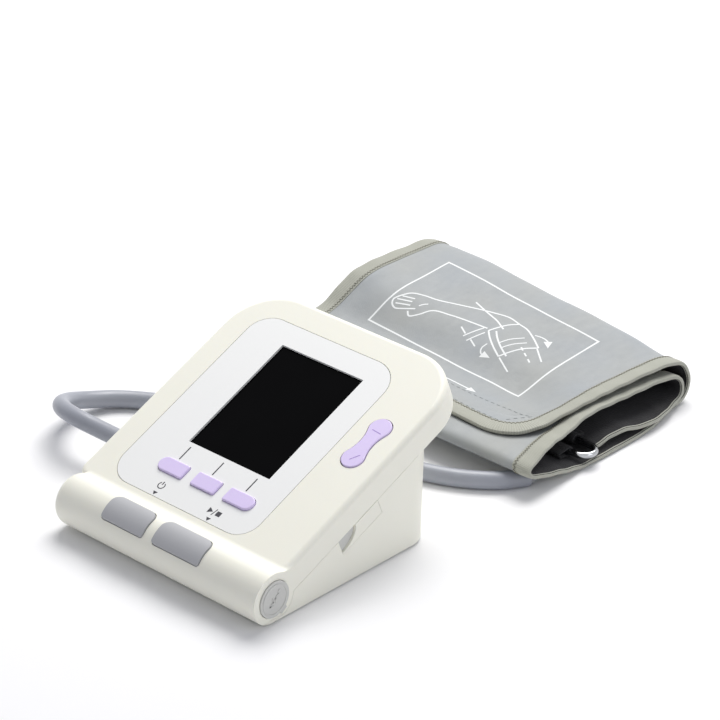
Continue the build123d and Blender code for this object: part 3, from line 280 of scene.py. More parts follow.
def ribbed_tape(name, colour):
    """Grosgrain edge tape: close ribs across its length, thread flecks and a broad uneven tone."""
    finish = Finish(name, 0.75, Sheen_Weight=0.2, Sheen_Roughness=0.4)
    finish.follow_cloth()
    ribs, flecks = finish.rows(0.0007, "Y"), finish.noise(0.0012, 4.0)
    broad = finish.noise(0.02, 2.0)
    ground = finish.blend(broad, tint(colour, 0.93), tint(colour, 1.05))
    finish.colour(finish.blend(ribs, tint(colour, 0.86), ground))
    finish.roughness(finish.between(flecks, 0.68, 0.84))
    finish.bump([(flecks, 0.00008), (ribs, 0.00010)])
    return finish.material


def loop_pile(name, colour):
    """Brushed loop cloth: short matted pile with a faint grey bloom."""
    finish = Finish(name, 0.9, Sheen_Weight=0.1, Sheen_Roughness=0.5, Sheen_Tint=(0.5, 0.5, 0.55, 1.0))
    finish.follow_cloth()
    pile, matted = finish.noise(0.0008, 5.0), finish.noise(0.01, 3.0)
    bloom = finish.between(matted, 0.0, 1.0, 0.35, 0.75)
    finish.colour(finish.blend(bloom, colour, tint(colour, 2.2)))
    finish.roughness(finish.between(pile, 0.84, 0.96))
    finish.bump([(matted, 0.0003), (pile, 0.00035)])
    return finish.material


def circuit_board(name):
    """Green lacquered board with copper runs under the lacquer."""
    finish = Finish(name, 0.35)
    runs = finish.node("TexBrick", {"offset": 0.37, "squash": 0.6}, Vector=finish.where, Scale=260.0,
                       Mortar_Size=0.06, Color1=(0.02, 0.13, 0.055, 1), Color2=(0.03, 0.16, 0.07, 1),
                       Mortar=(0.07, 0.27, 0.10, 1))
    finish.colour(runs.outputs["Color"])
    finish.roughness(finish.between(finish.noise(0.004), 0.28, 0.42))
    finish.bump([(runs.outputs["Fac"], 0.00002)])
    return finish.material


def dark_glass(name):
    """Polished dark window with dust that only its gloss shows."""
    finish = Finish(name, 0.04, Specular_IOR_Level=0.02)
    finish.colour(finish.blend(finish.noise(0.02), (0.0015, 0.0015, 0.0018), (0.0025, 0.0025, 0.003)))
    finish.roughness(finish.between(finish.noise(0.006, 5.0), 0.03, 0.09))
    return finish.material


def finishes(scene):
    """One material for each of the record's slots."""
    casing, hose, cuff = scene.monitor_casing, scene.monitor_hose, scene.monitor_cuff
    soft_grey, dark = (0.27, 0.28, 0.30), (0.018, 0.018, 0.02)
    return {
        "ivory_plastic": moulded("Ivory Plastic", casing.shell_colour, 0.42, spread=0.012,
                                 Specular_IOR_Level=0.4, Subsurface_Weight=0.06,
                                 Subsurface_Radius=(0.002, 0.0017, 0.0012)),
        "white_panel": moulded("White Panel", casing.panel_colour, 0.32, grain=0.0003, depth=0.000003,
                               spread=0.006, uneven=0.012),
        "black_window": dark_glass("Dark Window"),
        "lilac_key": moulded("Lilac Key", casing.key_colour, 0.36, spread=0.02, Subsurface_Weight=0.08,
                             Subsurface_Radius=(0.001, 0.0008, 0.0012)),
        "silver_button": moulded("Silver Button", casing.button_colour, 0.46, grain=0.00015, depth=0.000008,
                                 blotch=0.01, spread=0.02, Specular_IOR_Level=0.3),
        "grey_rubber": moulded("Grey Rubber", (0.62, 0.62, 0.595), 0.55, grain=0.0003, depth=0.00001),
        "grey_plastic": moulded("Grey Plastic", soft_grey, 0.45),
        "grey_hose": moulded("Grey Hose", hose.colour, 0.36, grain=0.0008, depth=0.000012, blotch=0.012,
                             spread=0.05),
        "foot_rubber": moulded("Foot Rubber", dark, 0.8, grain=0.0006, depth=0.00003),
        "grey_nylon": woven("Grey Nylon", cuff.cloth_colour, 0.0005, 0.00003),
        "khaki_tape": ribbed_tape("Edge Tape", cuff.tape_colour),
        "black_loop": loop_pile("Loop Lining", cuff.lining_colour),
        "bladder_film": moulded("Bladder Film", (0.05, 0.05, 0.06), 0.4),
        "ring_chrome": metal("Ring Chrome", (0.46, 0.47, 0.49), 0.10),
        "steel": metal("Plated Steel", (0.62, 0.62, 0.64), 0.28),
        "motor_steel": metal("Drawn Can", (0.52, 0.52, 0.54), 0.32, (4, 0.15, 4)),
        "display_metal": metal("Display Metal", (0.56, 0.57, 0.60), 0.36, (4, 0.2, 4)),
        "black_plastic": moulded("Black Plastic", dark, 0.5, grain=0.0003),
        "green_board": circuit_board("Circuit Board"),
        "cell_sleeve": moulded("Cell Sleeve", (0.05, 0.13, 0.24), 0.25, blotch=0.02, spread=0.1),
        "clear_tube": moulded("Silicone Tube", (0.62, 0.62, 0.60), 0.3, Transmission_Weight=0.3, IOR=1.41),
    }


# Meshes


def made_object(name, mesh):
    piece = bpy.data.objects.new(name, mesh)
    bpy.context.scene.collection.objects.link(piece)
    return piece


def mesh_object(name, points, faces, material, smooth=True, uv=None):
    """Mesh from points in metres; uv gives one pair for each point."""
    mesh = bpy.data.meshes.new(name)
    mesh.from_pydata([tuple(p) for p in points], [], faces)
    if uv is not None:
        layer = mesh.uv_layers.new(name="cloth")
        corner = np.zeros(len(mesh.loops), np.int32)
        mesh.loops.foreach_get("vertex_index", corner)
        layer.data.foreach_set("uv", np.asarray(uv, np.float32)[corner].ravel())
    mesh.polygons.foreach_set("use_smooth", [smooth] * len(mesh.polygons))
    mesh.materials.append(material)
    mesh.validate()
    return made_object(name, mesh)


def point_outwards(piece):
    """Recalculates a closed mesh's normals."""
    shape = bmesh.new()
    shape.from_mesh(piece.data)
    bmesh.ops.recalc_face_normals(shape, faces=shape.faces)
    shape.to_mesh(piece.data)
    shape.free()
    return piece


def grid_faces(rows, columns, start=0, closed=False):
    """Faces of a grid of points. A closed grid joins its last column to its first."""
    faces = []
    for r in range(rows - 1):
        for c in range(columns if closed else columns - 1):
            a, b = start + r * columns, start + (r + 1) * columns
            faces.append((a + c, a + (c + 1) % columns, b + (c + 1) % columns, b + c))
    return faces


def tube_faces(rings, around):
    """Faces of a tube made of rings of points, with both ends closed."""
    last = (rings - 1) * around
    ends = [tuple(range(around)), tuple(last + k for k in reversed(range(around)))]
    return grid_faces(rings, around, closed=True) + ends


def leaf(name, upper, lower, material, uv):
    """Closed thin leaf between two grids of points, with rims all round."""
    rows, columns = upper.shape[:2]
    points = np.concatenate([upper.reshape(-1, 3), lower.reshape(-1, 3)])
    top = grid_faces(rows, columns)
    under = [tuple(reversed(face)) for face in grid_faces(rows, columns, rows * columns)]
    rim = ([r * columns for r in range(rows)] + [(rows - 1) * columns + c for c in range(1, columns)]
           + [r * columns + columns - 1 for r in range(rows - 2, -1, -1)] + list(range(columns - 2, 0, -1)))
    edge = [(a, b, b + rows * columns, a + rows * columns) for a, b in zip(rim, rim[1:] + rim[:1])]
    piece = mesh_object(name, placed(points), top + under + edge, material, uv=np.concatenate([uv, uv]))
    return point_outwards(piece)


def finished(piece, body):
    """Puts a piece on its body."""
    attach(piece, body)
    return piece


def node_box(node):
    """A CAD node's lowest and highest corners, in millimetres in the model's frame."""
    return [np.array(corner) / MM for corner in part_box(node)]


# Geometry node trees for what repeats or follows a line


class Tree:
    """A geometry node group and short ways to add nodes to it."""

    def __init__(self, name, inputs):
        self.group = bpy.data.node_groups.new(name, "GeometryNodeTree")
        face = self.group.interface
        face.new_socket("Geometry", in_out="INPUT", socket_type="NodeSocketGeometry")
        for label, kind in inputs.items():
            face.new_socket(label, in_out="INPUT", socket_type="NodeSocket" + kind)
        face.new_socket("Geometry", in_out="OUTPUT", socket_type="NodeSocketGeometry")
        self.inputs = self.group.nodes.new("NodeGroupInput").outputs
        self.end = self.group.nodes.new("NodeGroupOutput")

    def node(self, kind, settings=None, **inputs):
        return added_node(self.group, kind, settings, inputs)

    def swept(self, curve, sides, radius, **scale):
        """A smooth tube with closed ends along a curve."""
        ring = self.node("GeometryNodeCurvePrimitiveCircle", Resolution=sides, Radius=radius)
        tube = self.node("GeometryNodeCurveToMesh", Curve=curve, Profile_Curve=ring.outputs[0],
                         Fill_Caps=True, **scale)
        return self.node("GeometryNodeSetShadeSmooth", Geometry=tube.outputs[0]).outputs[0]

    def finish(self, geometry):
        """Ends in real geometry with the material input on it."""
        real = self.node("GeometryNodeRealizeInstances", Geometry=geometry)
        painted = self.node("GeometryNodeSetMaterial", Geometry=real.outputs[0],
                            Material=self.inputs["Material"])
        self.group.links.new(painted.outputs[0], self.end.inputs[0])
        return self.group


def thread_tree():
    """A thread that follows a line of points."""
    tree = Tree("Sewing Thread", {"Radius": "Float", "Material": "Material"})
    line = tree.node("GeometryNodeMeshToCurve", Mesh=tree.inputs["Geometry"])
    return tree.finish(tree.swept(line.outputs[0], 4, tree.inputs["Radius"]))


def tube_tree():
    """A soft tube along a line, wider where it is pushed over the ports at its ends."""
    tree = Tree("Pushed On Tube", {"Radius": "Float", "Flare": "Float", "Material": "Material"})
    line = tree.node("GeometryNodeMeshToCurve", Mesh=tree.inputs["Geometry"])
    soft = tree.node("GeometryNodeResampleCurve", Curve=line.outputs[0], Count=36)
    share = tree.node("GeometryNodeSplineParameter").outputs["Factor"]
    from_middle = maths_node(tree.group, "ABSOLUTE", maths_node(tree.group, "SUBTRACT", share, 0.5))
    flare = tree.node("ShaderNodeMapRange", {"interpolation_type": "SMOOTHSTEP"}, Value=from_middle,
                      From_Min=0.30, From_Max=0.42, To_Min=1.0, To_Max=tree.inputs["Flare"])
    return tree.finish(tree.swept(soft.outputs[0], 24, tree.inputs["Radius"], Scale=flare.outputs["Result"]))


def spring_tree():
    """A cone spring at each point, wound from a spiral, its narrow end the way that the point faces."""
    tree = Tree("Cone Spring", {"Wire": "Float", "Wide": "Float", "Narrow": "Float", "Height": "Float",
                                "Turns": "Float", "Material": "Material"})
    spiral = tree.node("GeometryNodeCurveSpiral", Resolution=24, Rotations=tree.inputs["Turns"],
                       Start_Radius=tree.inputs["Wide"], End_Radius=tree.inputs["Narrow"],
                       Height=tree.inputs["Height"])
    wire = tree.swept(spiral.outputs[0], 8, tree.inputs["Wire"])
    facing = tree.node("GeometryNodeInputNamedAttribute", {"data_type": "FLOAT_VECTOR"}, Name="facing")
    turn = tree.node("FunctionNodeAlignRotationToVector", {"axis": "Z"}, Vector=facing.outputs["Attribute"])
    springs = tree.node("GeometryNodeInstanceOnPoints", Points=tree.inputs["Geometry"], Instance=wire,
                        Rotation=turn.outputs[0])
    return tree.finish(springs.outputs[0])


def tuft_tree():
    """Small pointed hooks scattered over a patch."""
    tree = Tree("Hook Field", {"Spacing": "Float", "Height": "Float", "Material": "Material"})
    points = tree.node("GeometryNodeDistributePointsOnFaces", {"distribute_method": "POISSON"},
                       Mesh=tree.inputs["Geometry"], Distance_Min=tree.inputs["Spacing"],
                       Density_Max=400000.0, Seed=4)
    foot = maths_node(tree.group, "MULTIPLY", tree.inputs["Height"], 0.3)
    hook = tree.node("GeometryNodeMeshCone", Vertices=5, Radius_Bottom=foot, Depth=tree.inputs["Height"])
    hooks = tree.node("GeometryNodeInstanceOnPoints", Points=points.outputs["Points"],
                      Instance=hook.outputs["Mesh"], Rotation=points.outputs["Rotation"])
    return tree.finish(hooks.outputs[0])


def ridge_tree():
    """Equal ridges in a row, each the input's mesh moved on by the pitch."""
    tree = Tree("Grip Ridges", {"Count": "Int", "Pitch": "Vector", "Material": "Material"})
    line = tree.node("GeometryNodeMeshLine", {"mode": "OFFSET"}, Count=tree.inputs["Count"],
                     Offset=tree.inputs["Pitch"])
    row = tree.node("GeometryNodeInstanceOnPoints", Points=line.outputs[0], Instance=tree.inputs["Geometry"])
    return tree.finish(row.outputs[0])


TREES = {"thread": thread_tree, "tube": tube_tree, "spring": spring_tree, "tuft": tuft_tree,
         "ridge": ridge_tree}


def grown(piece, kind, name, **values):
    """Runs a geometry node tree on a piece and returns the plain mesh it makes."""
    label = "Monitor " + kind
    group = bpy.data.node_groups.get(label)
    if group is None:
        group = TREES[kind]()
        group.name = label
    modifier = piece.modifiers.new("Grow", "NODES")
    modifier.node_group = group
    sockets = {item.name: item.identifier for item in group.interface.items_tree if item.in_out == "INPUT"}
    for socket, value in values.items():
        modifier[sockets[socket]] = value
    bpy.context.view_layer.update()
    result = piece.evaluated_get(bpy.context.evaluated_depsgraph_get())
    mesh = bpy.data.meshes.new_from_object(result)
    mesh.name = name
    bpy.data.objects.remove(piece)
    if not mesh.polygons:
        raise RuntimeError(name + " came out empty")
    return made_object(name, mesh)


def line_object(lines):
    """Loose polylines in metres, for a tree to follow."""
    points, edges = [], []
    for line in lines:
        start = len(points)
        points += [tuple(p) for p in line]
        edges += [(start + k, start + k + 1) for k in range(len(line) - 1)]
    mesh = bpy.data.meshes.new("lines")
    mesh.from_pydata(points, edges, [])
    return made_object("lines", mesh)


# Curves through tables of numbers


def run_along(points):
    """How far along a line each of its points lies."""
    return np.concatenate([[0], np.cumsum(np.linalg.norm(np.diff(points, axis=0), axis=1))])


def unit(vectors):
    """Vectors of length one, each along the last axis."""
    return vectors / np.linalg.norm(vectors, axis=-1, keepdims=True)


def hermite(knots, values, x):
    """Smooth curve through values at the knots, level beyond the ends."""
    knots, values, x = np.asarray(knots, float), np.asarray(values, float), np.asarray(x, float)
    slopes = np.gradient(values, knots, axis=0)
    x = np.clip(x, knots[0], knots[-1])
    k = np.clip(np.searchsorted(knots, x, side="right") - 1, 0, len(knots) - 2)
    gap = knots[k + 1] - knots[k]
    t = (x - knots[k]) / gap
    shape = x.shape + (1,) * (values.ndim - 1)
    t, gap = t.reshape(shape), gap.reshape(shape)
    return ((2 * t ** 3 - 3 * t ** 2 + 1) * values[k] + (t ** 3 - 2 * t ** 2 + t) * gap * slopes[k]
            + (3 * t ** 2 - 2 * t ** 3) * values[k + 1] + (t ** 3 - t ** 2) * gap * slopes[k + 1])


def step(x, start, end):
    """Smooth rise from nought at start to one at end."""
    t = np.clip((np.asarray(x, float) - start) / (end - start), 0, 1)
    return t * t * (3 - 2 * t)


# The folded cuff. T runs across the cloth, from -78 to 78 mm. S runs along it, from the free end over the far
# fold, back under, round the near fold over the hose, and forwards inside to the ring. Each row below is one
# line across the cloth: its place along Y, how far it is moved sideways, and its height at each station of T.
# All but the near fold is turned a little: a row's place grows by TURN for each millimetre towards the left,
# and its width shrinks by SQUEEZE.

HALF = 78.0
STATIONS = (-78.0, -42.0, -8.0, 26.0, 50.0, 67.0, 78.0)
TURN, TURN_ABOUT = 0.080, 40.0
SQUEEZE = 0.02
FLAP = (
    (114.0, -30.0, (10.0, 14.0, 16.0, 16.4, 16.4, 16.4, 16.8)),
    (120.0, -30.0, (9.8, 12.8, 14.8, 15.6, 15.9, 16.2, 17.0)),
    (127.0, -30.0, (9.8, 11.4, 12.6, 13.8, 14.3, 15.4, 17.4)),
    (135.0, -29.6, (9.8, 10.4, 11.0, 11.4, 12.3, 14.8, 17.9)),
    (143.0, -29.2, (9.8, 10.2, 10.2, 10.2, 11.0, 14.6, 18.4)),
    (151.0, -28.7, (12.3, 10.9, 10.4, 10.2, 10.4, 14.9, 19.0)),
    (159.0, -28.2, (17.4, 14.6, 13.1, 11.9, 12.0, 15.8, 19.4)),
    (167.0, -27.6, (21.8, 18.4, 16.4, 14.9, 14.3, 16.8, 19.7)),
    (175.0, -27.0, (23.4, 20.7, 18.6, 17.0, 16.0, 17.4, 19.9)),
    (185.0, -26.2, (24.2, 22.2, 20.0, 18.6, 17.4, 17.8, 20.1)),
    (195.0, -25.4, (24.3, 23.8, 21.4, 20.0, 18.6, 18.1, 20.4)),
    (205.0, -24.4, (24.4, 25.2, 23.0, 21.4, 19.8, 18.5, 20.4)),
    (213.5, -23.3, (25.0, 25.8, 23.9, 22.3, 20.5, 18.6, 20.0)),
)
SECOND = (
    (107.0, -16.3, (7.2, 10.6, 12.6, 13.3, 13.3, 13.3, 13.5)),
    (114.0, -17.5, (6.9, 11.0, 13.0, 13.4, 13.4, 13.8, 15.2)),
    (120.0, -18.5, (6.8, 9.8, 11.8, 12.6, 12.9, 14.2, 16.2)),
    (127.0, -20.0, (6.8, 8.4, 9.6, 10.8, 11.3, 13.6, 16.0)),
    (135.0, -21.0, (6.8, 7.3, 8.0, 8.4, 9.3, 13.0, 15.7)),
    (143.0, -22.0, (6.8, 7.2, 7.2, 7.2, 8.0, 13.0, 16.4)),
    (151.0, -23.2, (8.6, 7.7, 7.4, 7.2, 7.4, 13.2, 17.0)),
    (159.0, -24.0, (13.4, 11.0, 9.8, 8.9, 9.2, 13.6, 16.9)),
    (167.0, -24.0, (17.8, 14.9, 13.2, 11.9, 11.3, 14.0, 16.6)),
    (175.0, -23.6, (19.9, 17.4, 15.5, 14.0, 13.0, 14.2, 16.2)),
    (185.0, -23.0, (20.9, 19.0, 16.8, 15.4, 14.2, 14.2, 15.9)),
    (195.0, -22.5, (20.6, 20.0, 17.7, 16.4, 15.0, 14.0, 15.9)),
    (205.0, -22.0, (19.6, 20.4, 18.3, 16.8, 15.2, 13.6, 15.5)),
    (211.5, -20.8, (19.0, 20.0, 18.0, 16.4, 14.8, 13.2, 15.2)),
)
# Rows of the bottom layer, with the share of the near fold's lift inside the cuff and at its right edge
LOW = (
    (206.0, -18.8, 0.0, 0.0), (192.0, -15.0, 0.0, 0.0), (176.0, -13.7, 0.0, 0.0), (160.0, -13.7, 0.0, 0.0),
    (147.0, -13.7, 0.0, 0.0), (138.0, -13.7, 0.02, 0.04), (131.0, -13.7, 0.12, 0.20),
    (124.5, -13.7, 0.42, 0.40), (118.0, -13.7, 0.78, 0.60), (111.5, -13.8, 0.97, 0.80),
    (106.0, -14.0, 1.0, 0.97),
)
LOW_Z = 1.45
NEAR_LIFT = (2.5, 5.0, 7.2, 8.1, 8.1, 8.1, 7.4)
AT_RIGHT_EDGE = (0.0, 0.0, 0.0, 0.0, 0.0, 0.5, 1.0)
# Rows of the innermost layer, with the share of its hump, which grows towards the right edge
TAIL = (
    (209.0, -17.6, 0.0), (202.0, -15.4, 0.0), (194.0, -14.0, 0.0), (185.0, -13.6, 0.1), (177.0, -14.6, 0.5),
    (169.0, -16.0, 1.0), (161.0, -17.0, 0.9), (154.0, -17.0, 0.5), (150.0, -17.0, 0.3),
)
TAIL_Z = 4.35
HUMP = (0.0, 0.0, 0.0, 0.2, 0.6, 1.3, 1.9)
# Each fold's place along Y, its depth and the angles of its rows in degrees
FAR_FOLD = (213.5, 10.2, (58, 28, 0, -28, -58))
NEAR_FOLD = (104.2, -2.4, (-50, 0, 50))
INNER_FOLD = (211.0, 6.0, (55, 20, -15, -50))
# The stretches of Y over which straight rows pass into turned ones
LOW_TURNS, SECOND_TURNS, TAIL_TURNS = (150.0, 206.0), (107.0, 167.0), (150.0, 205.0)


def fold_rows(fold, upper, lower, leans):
    """Rows round a fold, from its upper to its lower layer or the other way."""
    about, depth, angles = fold
    middle, half = (upper + lower) / 2, (upper - lower) / 2
    rows = []
    for k, angle in enumerate(np.radians(angles)):
        lean = leans[0] + (leans[1] - leans[0]) * (k + 1) / (len(angles) + 1)
        rows.append((about + depth * math.cos(angle), lean, middle + half * math.sin(angle)))
    return rows


def cuff_rows():
    """Rows from the free end to the ring: place along Y, lean, share of the turn, heights at the stations."""
    low, tail = LOW_Z * np.ones(len(STATIONS)), TAIL_Z * np.ones(len(STATIONS))
    lift, edge = np.array(NEAR_LIFT), np.array(AT_RIGHT_EDGE)
    rows = [(y, lean, 1.0, np.array(z)) for y, lean, z in FLAP]
    far = fold_rows(FAR_FOLD, np.array(FLAP[-1][2]), low, (FLAP[-1][1], LOW[0][1]))
    rows += [(y, lean, 1.0, z) for y, lean, z in far]
    for y, lean, inside, outside in LOW:
        heights = low + lift * (inside * (1 - edge) + outside * edge)
        rows.append((y, lean, float(step(y, *LOW_TURNS)), heights))
    near = fold_rows(NEAR_FOLD, np.array(SECOND[0][2]), low + lift, (LOW[-1][1], SECOND[0][1]))
    rows += [(y, lean, 0.0, z) for y, lean, z in near]
    rows += [(y, lean, float(step(y, *SECOND_TURNS)), np.array(z)) for y, lean, z in SECOND]
    inner = fold_rows(INNER_FOLD, np.array(SECOND[-1][2]), tail, (SECOND[-1][1], TAIL[0][1]))
    rows += [(y, lean, 1.0, z) for y, lean, z in inner]
    for y, lean, share in TAIL:
        rows.append((y, lean, float(step(y, *TAIL_TURNS)), tail + np.array(HUMP) * share))
    return rows


def control_points():
    """The cloth's middle at every row and station, in the drawing's millimetres."""
    across = np.array(STATIONS)
    points = []
    for y, lean, turn, heights in cuff_rows():
        x = across + lean + SQUEEZE * (HALF - across) * turn
        points.append(np.stack([x, y + TURN * turn * (TURN_ABOUT - across), heights], 1))
    return np.array(points)


class FoldedCloth:
    """The cuff's middle surface, sampled finely, with its normals and its real length along S."""

    def __init__(self, along=5, columns=121, margin=2.0, spacing=1.5):
        control = control_points()
        self.t = np.linspace(-HALF - margin, HALF + margin, columns)
        count = len(control)
        index = np.linspace(0, count - 1, (count - 1) * along + 1)
        points = hermite(np.arange(count), self.across(control), index)
        run = run_along(points[:, columns // 2])
        self.length = float(run[-1])
        self.s = np.linspace(0, self.length, int(self.length / spacing))
        points = np.array([[np.interp(self.s, run, points[:, c, k]) for k in range(3)]
                           for c in range(columns)]).transpose(2, 0, 1)
        self.points = self.eased(points)
        self.points = self.points + self.normals_of(self.points) * self.wrinkles()[..., None]
        self.points[..., 2] = np.maximum(self.points[..., 2], LOW_Z)
        self.normals = self.normals_of(self.points)

    def across(self, control):
        """Rows of points at every T, carried on straight past the last stations."""
        inside = hermite(STATIONS, np.swapaxes(control, 0, 1), self.t)
        inside[:, :, 0] += (self.t - np.clip(self.t, STATIONS[0], STATIONS[-1]))[:, None]
        return np.swapaxes(inside, 0, 1)

    @staticmethod
    def eased(points, passes=6):
        """Rows drawn towards their neighbours, which rounds the folds."""
        for _ in range(passes):
            points[1:-1] = 0.5 * points[1:-1] + 0.25 * (points[:-2] + points[2:])
        return points

    @staticmethod
    def normals_of(points):
        """Unit normals on the nylon's side, which is out of the far fold."""
        along, over = np.gradient(points, axis=0), np.gradient(points, axis=1)
        return unit(np.cross(over, along))

    def wrinkles(self):
        """Small heights: soft buckles, a puckered edge, a dent by the right corner, gathers by the left."""
        s, t = self.s[:, None], self.t[None, :]
        broad = 0.22 * np.sin(s / 11.0 + 0.035 * t + 1.2) * np.sin(t / 17.0 + 0.02 * s)
        broad += 0.16 * np.sin(s / 6.3 - 0.11 * t) * np.sin(t / 9.5 + 0.7)
        edge = step(np.abs(t), HALF - 12, HALF) * 0.16 * np.sin(s / 2.1 + 0.8 * np.sin(s / 9.0))
        calm = 1 - 0.6 * step(np.abs(t), HALF - 16, HALF)
        pulled = 0.9 * np.exp(-((s - 21.0 - 0.5 * (t - 58.0)) / 3.2) ** 2 - ((t - 58.0) / 8.0) ** 2)
        gathered = 0.5 * np.exp(-((s - 50.0) / 26.0) ** 2 - ((t + 66.0) / 3.0) ** 2) * np.sin(s / 4.6)
        return broad * calm + edge - pulled + gathered

    def look_up(self, grid, s, t):
        """Values of a grid at any S and T."""
        s, t = np.broadcast_arrays(np.asarray(s, float), np.asarray(t, float))
        i = np.clip(s / self.length * (len(self.s) - 1), 0, len(self.s) - 1.001)
        j = np.clip((t - self.t[0]) / (self.t[-1] - self.t[0]) * (len(self.t) - 1), 0, len(self.t) - 1.001)
        a, b = i.astype(int), j.astype(int)
        u, v = (i - a)[..., None], (j - b)[..., None]
        return ((1 - u) * ((1 - v) * grid[a, b] + v * grid[a, b + 1])
                + u * ((1 - v) * grid[a + 1, b] + v * grid[a + 1, b + 1]))

    def at(self, s, t, height=0.0):
        """Points over the middle surface, by a height on the nylon's side."""
        normal = unit(self.look_up(self.normals, s, t))
        return self.look_up(self.points, s, t) + normal * np.asarray(height, float)[..., None]


def edge_distance(s, t, corner):
    """Distance in from the cuff's outline, whose free end has round corners."""
    side = HALF - np.abs(t)
    end = np.asarray(s, float)
    inside = np.minimum(side, end)
    deep = (side < corner) & (end < corner)
    round_in = corner - np.hypot(corner - side, corner - end)
    return np.where(deep, round_in, inside)


# In from the outline, the cloth is pressed thin at its edge and full after EDGE_PRESSED, and the bladder
# lifts it between the two values of BLADDER_EDGE
EDGE_SHARE, EDGE_PRESSED, BLADDER_EDGE = 0.62, 4.0, (8.0, 17.0)
# The lining's border stands out by LINING_STEP and ends between the two values of LINING_BORDER
LINING_STEP, LINING_BORDER = 0.25, (6.9, 7.7)
# Each side of the cloth starts this far from the middle surface
SIDE_START = 0.12
CORNER_ROWS, CORNER_POINTS, ROW_SPACING = 20, 26, 1.6


def filling_height(s, t, settings):
    """Half thickness of the cloth: pressed thin at its edge, fuller over the bladder."""
    inside = edge_distance(s, t, settings.corner / MM)
    pressed = EDGE_SHARE + (1 - EDGE_SHARE) * step(inside, 0.0, EDGE_PRESSED)
    return settings.cloth / MM * pressed + settings.filling / MM * step(inside, *BLADDER_EDGE)


def cloth_grid(cloth, settings, columns=88):
    """S and T of a grid that fills the rounded outline."""
    corner = settings.corner / MM
    turn = corner * (1 - np.cos(np.linspace(0, math.pi / 2, CORNER_ROWS)))
    rest = np.linspace(corner, cloth.length, int((cloth.length - corner) / ROW_SPACING))[1:]
    s = np.concatenate([turn, rest])
    width = HALF - corner + np.sqrt(np.clip(corner ** 2 - np.clip(corner - s, 0, corner) ** 2, 0, None))
    across = np.linspace(-1, 1, columns)
    return np.broadcast_to(s[:, None], (len(s), columns)), width[:, None] * across[None, :]


def make_cloth_side(cloth, settings, name, side, material):
    """One side of the cuff, from the middle outwards: the nylon, or the lining."""
    s, t = cloth_grid(cloth, settings)
    height = filling_height(s, t, settings)
    if side < 0:
        border = 1 - step(edge_distance(s, t, settings.corner / MM), *LINING_BORDER)
        height = height + LINING_STEP * border
    outer = cloth.at(s, t, side * height)
    inner = cloth.at(s, t, side * SIDE_START * np.ones_like(height))
    uv = np.stack([t.ravel(), s.ravel()], 1) * MM
    upper, lower = (outer, inner) if side > 0 else (inner, outer)
    return finished(leaf(name, upper, lower, material, uv), CASING)


def outline(cloth, settings, spacing=ROW_SPACING):
    """Points along the cuff's outline, and how each moves in: arrays of S, T and their steps inwards."""
    corner = settings.corner / MM
    straight = np.linspace(cloth.length, corner, int((cloth.length - corner) / spacing))
    rows = [(s, HALF, 0.0, -1.0) for s in straight]
    for angle in np.linspace(0, math.pi / 2, CORNER_POINTS)[1:-1]:
        rows.append((corner - corner * math.sin(angle), HALF - corner + corner * math.cos(angle),
                     math.sin(angle), -math.cos(angle)))
    mirrored = [(s, -t, a, -b) for s, t, a, b in rows]
    end = np.linspace(HALF - corner, corner - HALF, int(2 * (HALF - corner) / spacing))
    rows += [(0.0, t, 1.0, 0.0) for t in end]
    return np.array(rows + mirrored[::-1])


# The edge tape's section round the outline. On its two sides, each point is a depth in from the outline and a
# height over the cloth. At the nose and inside, it is a depth and a share of the cloth's half thickness. The
# depths of the two borders are counted back from the tape's inner edge.
NYLON_BORDER = ((0.0, -0.06), (0.0, 0.22), (0.25, 0.34), (1.4, 0.30), (3.2, 0.36))
NYLON_SIDE = ((1.6, 0.32), (0.5, 0.26), (0.0, 0.10))
NOSE = ((-0.16, 0.70), (-0.26, 0.25), (-0.26, -0.25), (-0.16, -0.70))
LINING_SIDE = ((0.0, 0.12), (0.4, 0.36), (0.8, 0.34), (1.0, 0.05))
TAPE_INSIDE = ((1.0, -0.5), (1.0, 0.5))
INSIDE_BORDER = (0.2, 0.6)


def make_binding(cloth, settings, material):
    """Edge tape folded over the outline, as one closed strip with a bulging fold."""
    reach, base = settings.tape / MM, settings.cloth / MM
    nylon_side = [(reach - back, proud) for back, proud in NYLON_BORDER] + list(NYLON_SIDE)
    inside = [*TAPE_INSIDE, (reach - INSIDE_BORDER[0], INSIDE_BORDER[1])]

    def over(s, t, side, proud=0.0, share=1.0):
        return cloth.at(s, t, side * (float(filling_height(s, t, settings)) * share + proud))

    rows = []
    for s, t, in_s, in_t in outline(cloth, settings):
        edge = cloth.at(s, t)
        out = unit(edge - cloth.at(s + in_s, t + in_t))
        normal = cloth.at(s, t, 1.0) - edge
        ring = [over(s + in_s * depth, t + in_t * depth, 1, proud) for depth, proud in nylon_side]
        ring += [edge - out * depth + normal * share * base for depth, share in NOSE]
        ring += [over(s + in_s * depth, t + in_t * depth, -1, proud) for depth, proud in LINING_SIDE]
        ring += [over(s + in_s * depth, t + in_t * depth, 1, 0.0, share) for depth, share in inside]
        rows.append(ring)
    points = np.array(rows)
    count, around = points.shape[:2]
    uv = np.stack([np.tile(run_along(points[0]), count), np.repeat(run_along(points[:, 0]), around)], 1) * MM
    piece = mesh_object("cuff_edge_tape", placed(points.reshape(-1, 3)), tube_faces(count, around), material,
                        uv=uv)
    return finished(point_outwards(piece), CASING)


